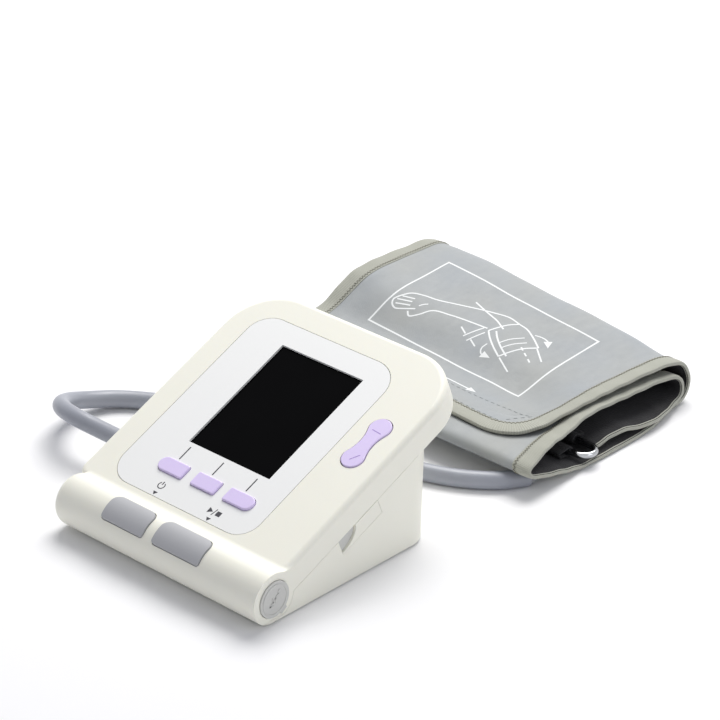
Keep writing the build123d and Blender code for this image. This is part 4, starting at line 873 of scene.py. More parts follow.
ZIGZAG_IN, ZIGZAG_HALF, ZIGZAG_PROUD = 1.3, 0.62, 0.40
PATCH_START, PATCH_END, PATCH_HALF = 9.0, 24.5, 58.0
PATCH_UNDER, PATCH_THICK = 0.02, 0.28
SEAM_START, SEAM_NEAR_HALF, SEAM_FAR_HALF = 9.5, 60.0, 67.0
STITCH_SHARES, STITCH_PROUD = (0.0, 0.25, 0.75, 1.0), (-0.12, 0.10, 0.10, -0.12)


def zigzag_lines(cloth, settings):
    """Zigzag sewing near the tape's inner border, on the nylon's side."""
    path = outline(cloth, settings, settings.stitch / MM / 2)
    swing = ZIGZAG_HALF * np.where(np.arange(len(path)) % 2, 1.0, -1.0)
    depth = settings.tape / MM - ZIGZAG_IN + swing
    s, t = path[:, 0] + path[:, 2] * depth, path[:, 1] + path[:, 3] * depth
    return [placed(cloth.at(s, t, filling_height(s, t, settings) + ZIGZAG_PROUD))]


def seam_lines(cloth, settings, stitch=2.6, gap=0.9):
    """Straight sewing that holds the hook patch: a ring of single stitches on the nylon."""
    corners = [(SEAM_START, -SEAM_NEAR_HALF), (PATCH_END, -SEAM_FAR_HALF), (PATCH_END, SEAM_FAR_HALF),
               (SEAM_START, SEAM_NEAR_HALF)]
    lines = []
    for (s0, t0), (s1, t1) in zip(corners, corners[1:] + corners[:1]):
        run = math.hypot(s1 - s0, t1 - t0)
        for k in range(int(run / (stitch + gap))):
            share = (np.array(STITCH_SHARES) * stitch + k * (stitch + gap)) / run
            s, t = s0 + (s1 - s0) * share, t0 + (t1 - t0) * share
            proud = np.array(STITCH_PROUD)
            lines.append(placed(cloth.at(s, t, filling_height(s, t, settings) + proud)))
    return lines


# The printed guide on the flap: a plain frame, an arm with a band round it, and arrows. U runs along the
# frame's long side and V away from the free end, both from the frame's middle.

GUIDE_S, GUIDE_T = 65.3, -3.0
GUIDE_WIDTH, GUIDE_HEIGHT = 94.7, 51.4
ARM_FAR = ((-44.5, -8.7), (-41.5, -4.0), (-36, -1.4), (-29.5, 0.3), (-19.6, 4.3), (-9.5, 8.2), (-2.0, 10.7),
           (5.5, 12.6), (12.2, 11.8))
ARM_NEAR = ((-34.5, -12.9), (-32.0, -14.8), (-28.6, -12.0), (-25.2, -6.7), (-16.2, -3.8), (-5.6, -1.6),
            (3.8, -0.1))
FINGER_ENDS = ((-44.5, -8.7), (-45.4, -11.3), (-44.2, -13.4), (-41.2, -14.7), (-37.4, -13.1))
FINGERS = (((-43.2, -7.7), (-37.2, -5.6)), ((-44.0, -10.3), (-36.8, -7.7)), ((-42.9, -12.5), (-36.0, -9.8)),
           ((-37.4, -13.1), (-32.4, -10.1)))
PALM_CREASE = ((-32.4, -7.9), (-31.4, -6.0), (-29.8, -4.4))
BAND_LEFT = ((5.4, -1.0), (8.6, -3.6), (13.6, -6.9), (21.5, -11.0))
BAND_INNER = ((8.4, 0.9), (11.8, -2.0), (17.0, -5.4), (24.4, -9.0))
BAND_RIGHT = ((12.2, 11.8), (17.2, 11.2), (23.0, 8.7), (31.4, 4.1))
BAND_NEAR = ((21.5, -11.0), (23.4, -6.9), (26.8, -0.8), (31.4, 4.1))
BAND_FAR = ((5.4, -1.0), (6.8, 3.2), (9.0, 8.2), (12.2, 11.8))
BAND_FOLDS = (((15.4, -4.8), (17.4, 0.1), (21.6, 5.4)), ((18.6, -6.5), (20.8, -1.8), (25.0, 3.4)))
SHOULDER = (((22.4, -11.3), (32.0, -16.0)), ((31.4, 3.2), (39.6, -2.4)))
HIDDEN_SIDE = (((25.4, -0.6), (27.6, -1.8)), ((29.4, -2.7), (31.6, -3.8)), ((33.6, -4.8), (35.8, -6.0)))
ARROW_LEFT = ((11.6, -7.9), (11.4, -11.4), (13.6, -14.0), (17.2, -13.8))
ARROW_RIGHT = ((23.6, 10.0), (27.6, 10.9), (31.4, 10.2), (33.4, 8.0))
TUBE = ((-14.8, 11.2), (-5.2, 8.7), (3.0, 6.9), (9.6, 4.1))
LEVEL_MARKS = (((-1.4, -10.3), (2.4, -0.8)), ((2.0, -11.6), (5.2, -3.0)), ((-6.4, -6.4), (-1.6, -8.6)),
               ((8.0, -12.2), (3.2, -10.1)))
WAY_ROUND = ((12.5, -37.6), (31.0, -37.6))
FRAME_STROKE, BODY_STROKE, FINE_STROKE, SHORT_STROKE = 0.9, 0.8, 0.65, 0.75
GUIDE_ARROW = 4.0
PRINT_LIFT = 0.05


def smooth_path(points, spacing=1.2):
    """Even points along a smooth curve through a few."""
    points = np.array(points, float)
    run = run_along(points)
    return hermite(run, points, np.linspace(0, run[-1], max(2, int(run[-1] / spacing) + 1)))


def straight_path(points, spacing=1.6):
    """Points along straight lines, with their corners kept."""
    points = np.array(points, float)
    run = run_along(points)
    stops = np.union1d(run, np.linspace(0, run[-1], max(2, int(run[-1] / spacing))))
    return np.stack([np.interp(stops, run, points[:, k]) for k in range(2)], 1)


def stroke(path, width, closed=False):
    """Left and right sides of a flat stroke with mitred corners."""
    ahead = unit(np.diff(path, axis=0))
    if closed:
        before, after = np.concatenate([ahead[-1:], ahead]), np.concatenate([ahead, ahead[:1]])
    else:
        before, after = np.concatenate([ahead[:1], ahead]), np.concatenate([ahead, ahead[-1:]])
    mean = unit(before + after)
    left = np.stack([-mean[:, 1], mean[:, 0]], 1)
    stretch = 1 / np.clip((mean * after).sum(1), 0.5, 1)
    offset = left * stretch[:, None] * width / 2
    return path + offset, path - offset


def arrow_head(tip, back, size):
    """Three corners of an arrow head at tip, pointing away from back."""
    tip, back = np.array(tip, float), np.array(back, float)
    ahead = unit(tip - back)
    side = np.array([-ahead[1], ahead[0]])
    return [tip + ahead * size * 0.4, tip - ahead * size * 0.8 + side * size * 0.5,
            tip - ahead * size * 0.8 - side * size * 0.5]


def guide_shapes():
    """Strokes (path, width, closed) and filled corners of the printed guide."""
    u, v = GUIDE_WIDTH / 2, GUIDE_HEIGHT / 2
    box = straight_path([(-u, -v), (u, -v), (u, v), (-u, v), (-u, -v)])
    strokes = [(box, FRAME_STROKE, True)]
    for line in (ARM_FAR, ARM_NEAR, FINGER_ENDS, BAND_LEFT, BAND_INNER, BAND_RIGHT, BAND_NEAR, BAND_FAR,
                 TUBE):
        strokes.append((smooth_path(line), BODY_STROKE, False))
    for line in (PALM_CREASE, ARROW_LEFT, ARROW_RIGHT, *BAND_FOLDS):
        strokes.append((smooth_path(line), FINE_STROKE, False))
    for line in (*FINGERS, *SHOULDER, *HIDDEN_SIDE, *LEVEL_MARKS):
        strokes.append((straight_path(line), SHORT_STROKE, False))
    strokes.append((straight_path(WAY_ROUND), FRAME_STROKE, False))
    heads = [arrow_head(line[-1], line[-2], GUIDE_ARROW) for line in (ARROW_LEFT, ARROW_RIGHT, WAY_ROUND)]
    return strokes, heads


def guide_place(points):
    """Guide U and V to the cloth's S and T."""
    points = np.asarray(points, float)
    return GUIDE_S + points[..., 1], GUIDE_T + points[..., 0]


def make_guide(cloth, settings, material):
    """The print, as thin closed strips that lie on the nylon."""
    points, faces, uv = [], [], []

    def lay(corners, quads):
        s, t = guide_place(corners)
        start = len(points)
        for lift in (PRINT_LIFT, -PRINT_LIFT):
            points.extend(cloth.at(s, t, filling_height(s, t, settings) + lift))
            uv.extend(np.stack([t, s], 1) * MM)
        count = len(corners)
        faces.extend(tuple(start + k for k in quad) for quad in quads)
        faces.extend(tuple(start + count + k for k in reversed(quad)) for quad in quads)
        uses = {}
        for quad in quads:
            for a, b in zip(quad, quad[1:] + quad[:1]):
                uses[frozenset((a, b))] = None if frozenset((a, b)) in uses else (a, b)
        faces.extend((start + b, start + a, start + count + a, start + count + b)
                     for pair in uses.values() if pair for a, b in [pair])

    strokes, heads = guide_shapes()
    for path, width, closed in strokes:
        left, right = stroke(path, width, closed)
        count = len(path)
        quads = [(k, k + 1, count + k + 1, count + k) for k in range(count - 1)]
        lay(np.concatenate([left, right]), quads)
    for head in heads:
        lay(np.array(head), [(0, 1, 2)])
    piece = mesh_object("cuff_guide_print", placed(points), faces, material, smooth=False, uv=uv)
    return point_outwards(piece)


# Marks on the casing


def arc(u, v, radius, start, end, steps):
    """Points along a round arc, between two angles in radians."""
    return [(u + radius * math.cos(a), v + radius * math.sin(a)) for a in np.linspace(start, end, steps + 1)]


def disc(u, v, radius, steps=24):
    return arc(u, v, radius, 0, 2 * math.pi, steps)[:-1]


def bar(u0, v0, u1, v1, width):
    """A straight bar with round ends."""
    run, quarter = math.atan2(v1 - v0, u1 - u0), math.pi / 2
    first = arc(u1, v1, width / 2, run - quarter, run + quarter, 6)
    return first + arc(u0, v0, width / 2, run + quarter, run + 3 * quarter, 6)


def arc_band(u, v, radius, start, end, width, steps=18):
    """The outline of a round arc of even width, between two angles in degrees."""
    start, end = math.radians(start), math.radians(end)
    inner = arc(u, v, radius - width / 2, start, end, steps)
    return arc(u, v, radius + width / 2, start, end, steps) + inner[::-1]


def face_frame(u, v, w):
    """A place on or over the sloped face, in the drawing's frame."""
    return FACE_ORIGIN + u * FACE_U + v * FACE_V + w * FACE_W


def plates(name, outlines, place, low, high, material):
    """Flat plates from outlines, between two heights over their place."""
    points, faces = [], []
    for outline_points in outlines:
        start, count = len(points), len(outline_points)
        points += [place(u, v, high) for u, v in outline_points]
        points += [place(u, v, low) for u, v in outline_points]
        faces.append(tuple(range(start, start + count)))
        faces.append(tuple(reversed(range(start + count, start + 2 * count))))
        for k in range(count):
            after = (k + 1) % count
            faces.append((start + k, start + count + k, start + count + after, start + after))
    piece = mesh_object(name, placed(points), faces, material, smooth=False)
    return point_outwards(piece)


# In the face's U and V or on the cap, in millimetres, with angles in degrees
PANEL_TICKS, TICK_NEAR, TICK_FAR, TICK_WIDTH = (-22.95, -4.7, 13.65), -72.4, -65.7, 0.55
POINTER_V, POINTER_HALF, POINTER_HEIGHT = -90.9, 1.15, 0.8
MARK_POWER, POWER_RADIUS, POWER_OPEN, POWER_WIDTH = (-20.0, -86.6), 1.55, (125, 415), 0.42
POWER_BAR = (0.5, 1.9)
MARK_START, SLASH_WIDTH = (9.3, -86.9), 0.36
MARK_SUNK = 0.02
ROCKER_STROKES, ROCKER_WIDTH = ((39.4, -24.0, 43.8, -24.4), (41.1, -40.4, 43.5, -36.9)), 0.35
ROCKER_TOP = 0.5
CAP_CENTRE, CAP_FACE, CAP_SIGN_HEIGHT = (-40.4, 11.2), 55.6, 0.22
CAP_RING, CAP_RING_WIDTH = 6.3, 0.4
CAP_STEM, CAP_DOT = (-2.6, -2.2, 1.6, 2.0, 0.7), (2.3, 2.7, 1.0)
CAP_BRANCHES = ((-2.6, -2.2, -0.9, -2.6, 0.7), (0.2, 0.6, 0.4, -1.4, 0.6), (-1.2, -0.8, -1.4, 1.0, 0.6))
# The hatch's width across its slope, and the finger scoop with the grey pad on its floor, which is painted
# shade
HATCH_WIDTH = 7.0
SCOOP_LONG, SCOOP_HIGH, SCOOP_FLOOR = 9.8, 6.1, 1.2
PAD_GAP, PAD_SUNK, PAD_TOP = 0.15, 0.05, 0.15


def panel_outlines():
    """Ticks over the keys, pointers to the two large buttons, and plain on/off and start/stop signs."""
    shapes = [bar(u, TICK_NEAR, u, TICK_FAR, TICK_WIDTH) for u in PANEL_TICKS]
    top, tip = POINTER_V + POINTER_HEIGHT, POINTER_V - POINTER_HEIGHT
    for u in (MARK_POWER[0], MARK_START[0]):
        shapes.append([(u - POINTER_HALF, top), (u, tip), (u + POINTER_HALF, top)])
    u, v = MARK_POWER
    shapes.append(arc_band(u, v, POWER_RADIUS, *POWER_OPEN, POWER_WIDTH))
    shapes.append(bar(u, v + POWER_BAR[0], u, v + POWER_BAR[1], POWER_WIDTH))
    u, v = MARK_START
    shapes.append([(u - 3.0, v - 1.4), (u - 0.7, v), (u - 3.0, v + 1.4)])
    shapes.append(bar(u - 0.3, v - 1.6, u + 0.5, v + 1.6, SLASH_WIDTH))
    shapes.append([(u + 1.2, v - 1.15), (u + 3.5, v - 1.15), (u + 3.5, v + 1.15), (u + 1.2, v + 1.15)])
    return shapes


# Operators


class MONITOR_OT_finish_casing(bpy.types.Operator):
    """Give every CAD node its material"""

    bl_idname = "monitor.finish_casing"
    bl_label = "Finish Casing"

    def execute(self, context):
        looks = finishes(context.scene)
        for row in frame["record"]["subparts"]:
            node = frame["nodes"][row["node"]]
            node.data.materials.clear()
            node.data.materials.append(looks[row["material_slot"]])
        return {"FINISHED"}


def look(name):
    """A material that the casing operator has made."""
    found = bpy.data.materials.get(name)
    if found is None:
        raise RuntimeError("no material " + name + ": run Finish Casing first")
    return found


class MONITOR_OT_print_marks(bpy.types.Operator):
    """Print the panel's marks and the rocker's two lines, raise the cap's sign and lay a grey pad of painted
    shade in the hatch's scoop
    """

    bl_idname = "monitor.print_marks"
    bl_label = "Print Marks"

    def execute(self, context):
        depth = context.scene.monitor_casing.mark_depth / MM
        ink = moulded("Mark Ink", (0.018, 0.018, 0.028), 0.5)
        lilac_ink = moulded("Rocker Line", (0.36, 0.24, 0.60), 0.5)
        panel = plates("panel_marks", panel_outlines(), face_frame, -MARK_SUNK, depth, ink)
        finished(panel, CASING)
        lines = [bar(*ends, ROCKER_WIDTH) for ends in ROCKER_STROKES]
        rocker = plates("rocker_lines", lines, face_frame, ROCKER_TOP - MARK_SUNK, ROCKER_TOP + depth,
                        lilac_ink)
        finished(rocker, "rocker_key")

        def on_cap(u, v, w):
            return np.array([CAP_FACE + w, CAP_CENTRE[0] + u, CAP_CENTRE[1] + v])

        sign = [arc_band(0, 0, CAP_RING, 0, 359.99, CAP_RING_WIDTH, 48), bar(*CAP_STEM), disc(*CAP_DOT)]
        sign += [bar(*branch) for branch in CAP_BRANCHES]
        raised = plates("cap_sign", sign, on_cap, -PAD_SUNK, CAP_SIGN_HEIGHT, look("Grey Rubber"))
        finished(raised, "usb_cap")
        self.lay_scoop_shade()
        return {"FINISHED"}

    @staticmethod
    def lay_scoop_shade():
        """A grey pad in the rubber material on the floor of the hatch's finger scoop: painted shade, darker
        than the shell, standing in for the scoop's shadow.
        """
        low, high = (corner - MOVED for corner in node_box("side_hatch"))
        side = high[0] - SCOOP_FLOOR
        along, down = np.array([0.0, FACE_V[1], FACE_V[2]]), np.array([0.0, FACE_V[2], -FACE_V[1]])
        length = (high[1] - low[1] - HATCH_WIDTH * FACE_V[2]) / FACE_V[1]
        corner = np.array([side, high[1] - HATCH_WIDTH * FACE_V[2], high[2]]) - along * length

        def on_floor(u, v, w):
            return corner + along * u + down * v + np.array([w, 0.0, 0.0])

        sweep = np.linspace(0, math.pi / 2, 16)
        shade_outline = [(PAD_GAP, PAD_GAP)]
        shade_outline += [(PAD_GAP + SCOOP_LONG * math.cos(a), PAD_GAP + SCOOP_HIGH * math.sin(a))
                        for a in sweep]
        # The pad is painted shade: a grey sheet that darkens the scoop's floor in place of its shadow
        shade_pad = plates("scoop_shade_pad", [shade_outline], on_floor, -PAD_SUNK, PAD_TOP, look("Grey Rubber"))
        finished(shade_pad, "side_hatch")


HOSE_ROUTE = (
    (-66.0, 0.0, 16.0), (-80.5, 0.0, 16.0), (-95.5, -2.5, 18.1), (-109.5, 2.3, 15.9),
    (-118.5, 13.2, 10.9), (-119.8, 27.2, 5.8), (-113.4, 40.6, 3.9), (-98.5, 50.7, 3.9),
    (-80.0, 62.0, 3.9), (-52.0, 71.0, 3.9), (-20.0, 76.5, 3.9), (6.0, 79.5, 3.9),
    (22.5, 83.8, 3.9), (34.5, 88.8, 3.9), (45.2, 96.2, 3.9), (52.4, 104.0, 3.9),
    (55.8, 111.0, 3.9),
)

# The elbow's barb and flange are profiles: how far along, and the radius there
ELBOW_START, ELBOW_R, ELBOW_SIDES, ELBOW_STEPS = 2.0, 2.3, 32, 8
ELBOW_BARB = ((-4.0, 1.6), (-3.8, 1.9), (0.0, 1.9), (0.05, 2.9), (0.25, 3.1), (1.1, 3.1), (1.3, 2.9),
              (1.35, 2.3))
ELBOW_FLANGE = ((0.1, 2.3), (0.15, 4.3), (0.3, 4.5), (0.6, 4.5), (0.7, 4.3))
# The bend ends ELBOW_UNDER below the lowest cloth that lies within CLOTH_NEAR of a place ahead of the elbow
ELBOW_UNDER, LEAST_BEND, CLOTH_NEAR, CLOTH_AHEAD = 1.4, 1.0, 6.0, 2.0


class MONITOR_OT_lay_hose(bpy.types.Operator):
    """Lay the air hose from its plug round the casing to the cuff"""

    bl_idname = "monitor.lay_hose"
    bl_label = "Lay Hose"

    def execute(self, context):
        settings = context.scene.monitor_hose
        curve = bpy.data.curves.new("air_hose", "CURVE")
        curve.dimensions = "3D"
        spline = curve.splines.new("NURBS")
        spline.points.add(len(HOSE_ROUTE) - 1)
        for point, place in zip(spline.points, placed(HOSE_ROUTE)):
            point.co = (*place, 1.0)
        spline.order_u = 3
        spline.use_endpoint_u = True
        spline.resolution_u = 12
        curve.bevel_depth = settings.diameter / 2
        curve.bevel_resolution = 8
        curve.use_fill_caps = True
        curve.materials.append(look("Grey Hose"))
        hose = made_object("air_hose", curve)
        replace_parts(finished(hose, CASING), "hose")
        elbow = self.cuff_elbow()
        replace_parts(elbow, "cuff_nipple")
        return {"FINISHED"}

    @staticmethod
    def cuff_elbow():
        """Turned elbow from the hose's end up to the cuff's lowest cloth: barb, collar, bend and flange."""
        end, up = np.array(HOSE_ROUTE[-1]), np.array([0.0, 0.0, 1.0])
        ahead = unit(end - np.array(HOSE_ROUTE[-2]))
        cloth = FoldedCloth()
        s, t = np.meshgrid(np.linspace(0, cloth.length, 300), np.linspace(-HALF, HALF, 120), indexing="ij")
        points = cloth.at(s, t).reshape(-1, 3)
        gap = np.linalg.norm((points - end - ahead * (ELBOW_START + CLOTH_AHEAD))[:, :2], axis=1)
        bend = max(LEAST_BEND, points[gap < CLOTH_NEAR, 2].min() - end[2] - ELBOW_UNDER)
        stations = [(end + ahead * along, ahead, radius) for along, radius in ELBOW_BARB]
        for angle in np.radians(np.linspace(0, 90, ELBOW_STEPS + 1)):
            centre = end + ahead * (ELBOW_START + bend * math.sin(angle)) + up * bend * (1 - math.cos(angle))
            stations.append((centre, ahead * math.cos(angle) + up * math.sin(angle), ELBOW_R))
        top = stations[-1][0]
        stations += [(top + up * rise, up, radius) for rise, radius in ELBOW_FLANGE]
        side = np.cross(ahead, up)
        turns = np.linspace(0, 2 * math.pi, ELBOW_SIDES, endpoint=False)
        rings = []
        for centre, along, radius in stations:
            round_it = np.outer(np.cos(turns), side) + np.outer(np.sin(turns), np.cross(side, along))
            rings.append(centre + radius * round_it)
        elbow = mesh_object("cuff_elbow", placed(np.concatenate(rings)), tube_faces(len(rings), ELBOW_SIDES),
                            look("Grey Plastic"))
        return finished(point_outwards(elbow), CASING)


class MONITOR_OT_sew_cuff(bpy.types.Operator):
    """Fold the cuff: nylon, lining, bladder room, edge tape, sewing, hook patch and printed guide"""

    bl_idname = "monitor.sew_cuff"
    bl_label = "Sew Cuff"

    def execute(self, context):
        settings = context.scene.monitor_cuff
        cloth = FoldedCloth()
        nylon = make_cloth_side(cloth, settings, "cuff_nylon", 1, look("Grey Nylon"))
        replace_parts(nylon, "cuff_cover", "cuff_bladder")
        lining = make_cloth_side(cloth, settings, "cuff_loop_lining", -1, look("Loop Lining"))
        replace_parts(lining, "cuff_lining")
        tape = make_binding(cloth, settings, look("Edge Tape"))
        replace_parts(tape, "cuff_binding")
        thread = moulded("Tape Thread", (0.19, 0.185, 0.145), 0.6)
        zigzag = grown(line_object(zigzag_lines(cloth, settings)), "thread", "tape_sewing",
                       Radius=0.00017, Material=thread)
        finished(zigzag, CASING)
        grey_thread = moulded("Seam Thread", (0.30, 0.32, 0.33), 0.6)
        seam = grown(line_object(seam_lines(cloth, settings)), "thread", "patch_sewing",
                     Radius=0.00014, Material=grey_thread)
        finished(seam, CASING)
        ink = moulded("Guide Ink", (0.80, 0.82, 0.82), 0.55, grain=0.0005, depth=0.00001)
        guide = finished(make_guide(cloth, settings, ink), CASING)

        s, t = np.meshgrid(np.linspace(PATCH_START, PATCH_END, 14), np.linspace(-PATCH_HALF, PATCH_HALF, 64),
                           indexing="ij")
        under = -filling_height(s, t, settings)
        uv = np.stack([t.ravel(), s.ravel()], 1) * MM
        foot = cloth.at(s, t, under - PATCH_THICK)
        patch = leaf("hook_patch_base", cloth.at(s, t, under - PATCH_UNDER), foot, look("Loop Lining"), uv)
        finished(patch, CASING)
        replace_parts(patch, "hook_patch")
        bed = mesh_object("bed", placed(foot.reshape(-1, 3)), grid_faces(*s.shape), look("Loop Lining"))
        hooks = grown(bed, "tuft", "patch_hooks", Spacing=0.0021, Height=0.0005, Material=look("Loop Lining"))
        finished(hooks, CASING)
        return {"FINISHED"}


# The strips round the ring: half their thickness, the step along them, and how far their middle is from
# the wire
STRIP_HALF, STRIP_STEP, WIRE_GAP = 0.35, 0.45, 0.45
HEM_RIPPLE = 0.1


class MONITOR_OT_fit_ring(bpy.types.Operator):
    """Sew the hem and the folded tab round the wire ring"""

    bl_idname = "monitor.fit_ring"
    bl_label = "Fit Ring"

    def execute(self, context):
        low, high = node_box("cuff_ring")
        wire = (high[2] - low[2]) / 2
        far_bar, near_bar, level = high[1] - wire, low[1] + wire, (low[2] + high[2]) / 2
        hem_low, hem_high = node_box("ring_hem")
        self.hem(hem_low[0], hem_high[0], far_bar, level, wire)
        tab_low, tab_high = node_box("ring_tab")
        self.tab(tab_low[0], tab_high[0], near_bar, level, wire)
        return {"FINISHED"}

    @staticmethod
    def strip(name, section, x0, x1, slot, body, node, ripple=0.0):
        """A folded strip: its middle line in Y and Z, thickened and run from X x0 to x1."""
        line = smooth_path(section, spacing=STRIP_STEP)
        ahead = unit(np.gradient(line, axis=0))
        side = np.stack([-ahead[:, 1], ahead[:, 0]], 1)
        columns = np.linspace(x0, x1, max(8, int((x1 - x0) / 2)))
        wave = ripple * np.sin(columns / 4.1) * np.sin(columns / 11.0 + 1)
        grids = []
        for offset in (STRIP_HALF, -STRIP_HALF):
            grid = np.zeros((len(line), len(columns), 3))
            grid[..., 0] = columns[None, :]
            grid[..., 1] = (line + side * offset)[:, :1]
            grid[..., 2] = (line + side * offset)[:, 1:] + wave[None, :]
            grids.append(grid - MOVED)
        run = np.arange(len(line)) * STRIP_STEP
        uv = np.stack([np.tile(columns, len(line)), np.repeat(run, len(columns))], 1) * MM
        piece = leaf(name, *grids, look("Loop Lining"), uv)
        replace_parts(finished(piece, body), node)

    def hem(self, x0, x1, y, z, wire):
        """The hem that holds the ring's far bar."""
        reach = wire + WIRE_GAP
        section = [(y + 6.0, z - 0.55), (y + 3.2, z - 0.7), (y + 1.2, z - reach * 0.95),
                   (y - 0.6, z - reach * 0.95), (y - reach, z), (y - 0.5, z + reach),
                   (y + 1.4, z + reach * 0.85), (y + 3.4, z + 0.55), (y + 6.0, z + 0.50)]
        self.strip("ring_hem_fold", section, x0, x1, "black_loop", CASING, "ring_hem", HEM_RIPPLE)

    def tab(self, x0, x1, y, z, wire):
        """The folded tab round the ring's near bar, which swings with it."""
        reach = wire + WIRE_GAP
        section = [(y - 6.4, z - 0.95), (y - 4.0, z - 1.1), (y - 1.4, z - reach), (y + 0.6, z - reach * 0.9),
                   (y + reach, z), (y + 0.6, z + reach * 0.9), (y - 1.4, z + reach), (y - 4.2, z + 1.4),
                   (y - 6.6, z + 1.3), (y - 7.4, z + 0.7)]
        self.strip("ring_tab_fold", section, x0, x1, "black_loop", "cuff_ring", "ring_tab")


# The inner tubes in metres: their radius, the share of it that the soft tube has, how much wider its ends
# are, and the radius of the one bend
TUBE_RADIUS, SOFT_SHARE, TUBE_FLARE = 0.0018, 0.94, 1.06
TUBE_BENDS = {"pump_tube": None, "sensor_tube": None, "valve_tube": 0.0024}
# The contact springs in metres: wire radius, radii of the two ends, height, turns, and the gap that is left
# round the wide end
SPRING_WIRE, SPRING_WIDE, SPRING_NARROW, SPRING_HEIGHT = 0.00022, 0.004, 0.0018, 0.001
SPRING_TURNS, SPRING_GAP = 3.2, 0.0002
CELLS = 4


class MONITOR_OT_fit_insides(bpy.types.Operator):
    """Replace the plain inner tubes and contact springs with soft tubes and wound cones"""

    bl_idname = "monitor.fit_insides"
    bl_label = "Fit Insides"

    def execute(self, context):
        tube_look = look("Silicone Tube")
        for node, bend in TUBE_BENDS.items():
            soft = grown(line_object([self.tube_line(*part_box(node), bend)]), "tube", node + "_soft",
                         Radius=TUBE_RADIUS * SOFT_SHARE, Flare=TUBE_FLARE, Material=tube_look)
            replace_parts(finished(soft, CASING), node)
        self.springs(*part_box("battery_springs"), look("Plated Steel"))
        return {"FINISHED"}

    @staticmethod
    def tube_line(low, high, bend):
        """A tube's middle line: straight along its node's longest side, or down and round one bend."""
        if bend is None:
            along = max(range(3), key=lambda k: (high - low)[k])
            start, end = (low + high) / 2, (low + high) / 2
            start[along], end[along] = low[along], high[along]
            return [start, end]
        x, top, foot = (low.x + high.x) / 2, high.y - TUBE_RADIUS, low.z + TUBE_RADIUS
        turn = [(x, top - bend * (1 - math.cos(a)), foot + bend * (1 - math.sin(a)))
                for a in np.linspace(0, math.pi / 2, 9)]
        return [(x, top, high.z), *turn, (x, low.y, foot)]

    @staticmethod
    def springs(low, high, steel):
        """One spring for each cell, at alternate ends of the bay."""
        z, pitch = (low.z + high.z) / 2, (high.x - low.x - 2 * SPRING_WIDE) / (CELLS - 1)
        places = [(low.x + SPRING_WIDE + pitch * k, high.y if k % 2 else low.y, z) for k in range(CELLS)]
        seats = bpy.data.meshes.new("seats")
        seats.from_pydata(places, [], [])
        facing = seats.attributes.new("facing", "FLOAT_VECTOR", "POINT")
        for k in range(CELLS):
            facing.data[k].vector = (0.0, -1.0 if k % 2 else 1.0, 0.0)
        springs = grown(made_object("seats", seats), "spring", "contact_springs", Wire=SPRING_WIRE,
                        Wide=SPRING_WIDE - SPRING_GAP, Narrow=SPRING_NARROW, Height=SPRING_HEIGHT,
                        Turns=SPRING_TURNS, Material=steel)
        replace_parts(finished(springs, CASING), "battery_springs")


# The battery door's grip, in millimetres: its nearest ridge from the door's far edge, each ridge's size, and
# the ridges' number and pitch, which is in metres
GRIP_IN, RIDGE_HALF, RIDGE_WIDTH, RIDGE_SUNK, RIDGE_HEIGHT = 20.0, 9.0, 0.8, 0.05, 0.28
RIDGES, RIDGE_PITCH = 7, 0.0019


class MONITOR_OT_add_grips(bpy.types.Operator):
    """Add the grip ridges to the battery door's floor"""

    bl_idname = "monitor.add_grips"
    bl_label = "Add Grips"

    def execute(self, context):
        low, high = (corner - MOVED for corner in node_box("battery_door"))
        middle, near = (low[0] + high[0]) / 2, high[1] - GRIP_IN

        def under_door(u, v, w):
            return np.array([middle + u, near + v, low[2] - w])

        ridge = bar(-RIDGE_HALF, 0.0, RIDGE_HALF, 0.0, RIDGE_WIDTH)
        one = plates("ridge", [ridge], under_door, -RIDGE_SUNK, RIDGE_HEIGHT, look("Ivory Plastic"))
        row = grown(one, "ridge", "door_ridges", Count=RIDGES, Pitch=(0.0, RIDGE_PITCH, 0.0),
                    Material=look("Ivory Plastic"))
        finished(row, "battery_door")
        return {"FINISHED"}


# Camera and light


# Where the camera stands in the drawing's frame, and its angles in degrees: turned left from the Y axis,
# dipped under the level, and rolled
CAMERA_PLACE = (698.1, -727.5, 592.3)
CAMERA_YAW, CAMERA_DIP, CAMERA_ROLL = 41.2911, 26.9832, 1.6857

STAGE_MIDDLE = (0.0, 0.0, 0.02)
FLOOR_REACH = 6.0
KEY_PLACE, KEY_SIZE, KEY_TINT = (-0.36, 0.66, 1.22), 1.0, (1.0, 0.985, 0.96)
SIDE_PLACE, SIDE_SIZE, SIDE_TINT, SIDE_SHARE = (1.2, 0.2, 0.8), 0.8, (0.97, 0.98, 1.0), 0.12
ROOM_LIGHT, ROOM_STRENGTH = (0.90, 0.92, 1.0, 1.0), 0.37
WHITE = (1.0, 1.0, 1.0, 1.0)


def softbox(name, place, target, size, power, colour):
    lamp = bpy.data.lights.new(name, "AREA")
    lamp.shape, lamp.size, lamp.energy, lamp.color = "SQUARE", size, power, colour
    holder = made_object(name, lamp)
    holder.location = place
    holder.rotation_euler = (Vector(target) - Vector(place)).to_track_quat("-Z", "Y").to_euler()
    return holder


def white_to_camera(tree):
    """One where a camera, glossy or transmission ray looks, else nought."""
    path = tree.nodes.new("ShaderNodeLightPath").outputs
    seen = maths_node(tree, "MAXIMUM", path["Is Camera Ray"], path["Is Glossy Ray"])
    return maths_node(tree, "MAXIMUM", seen, path["Is Transmission Ray"])


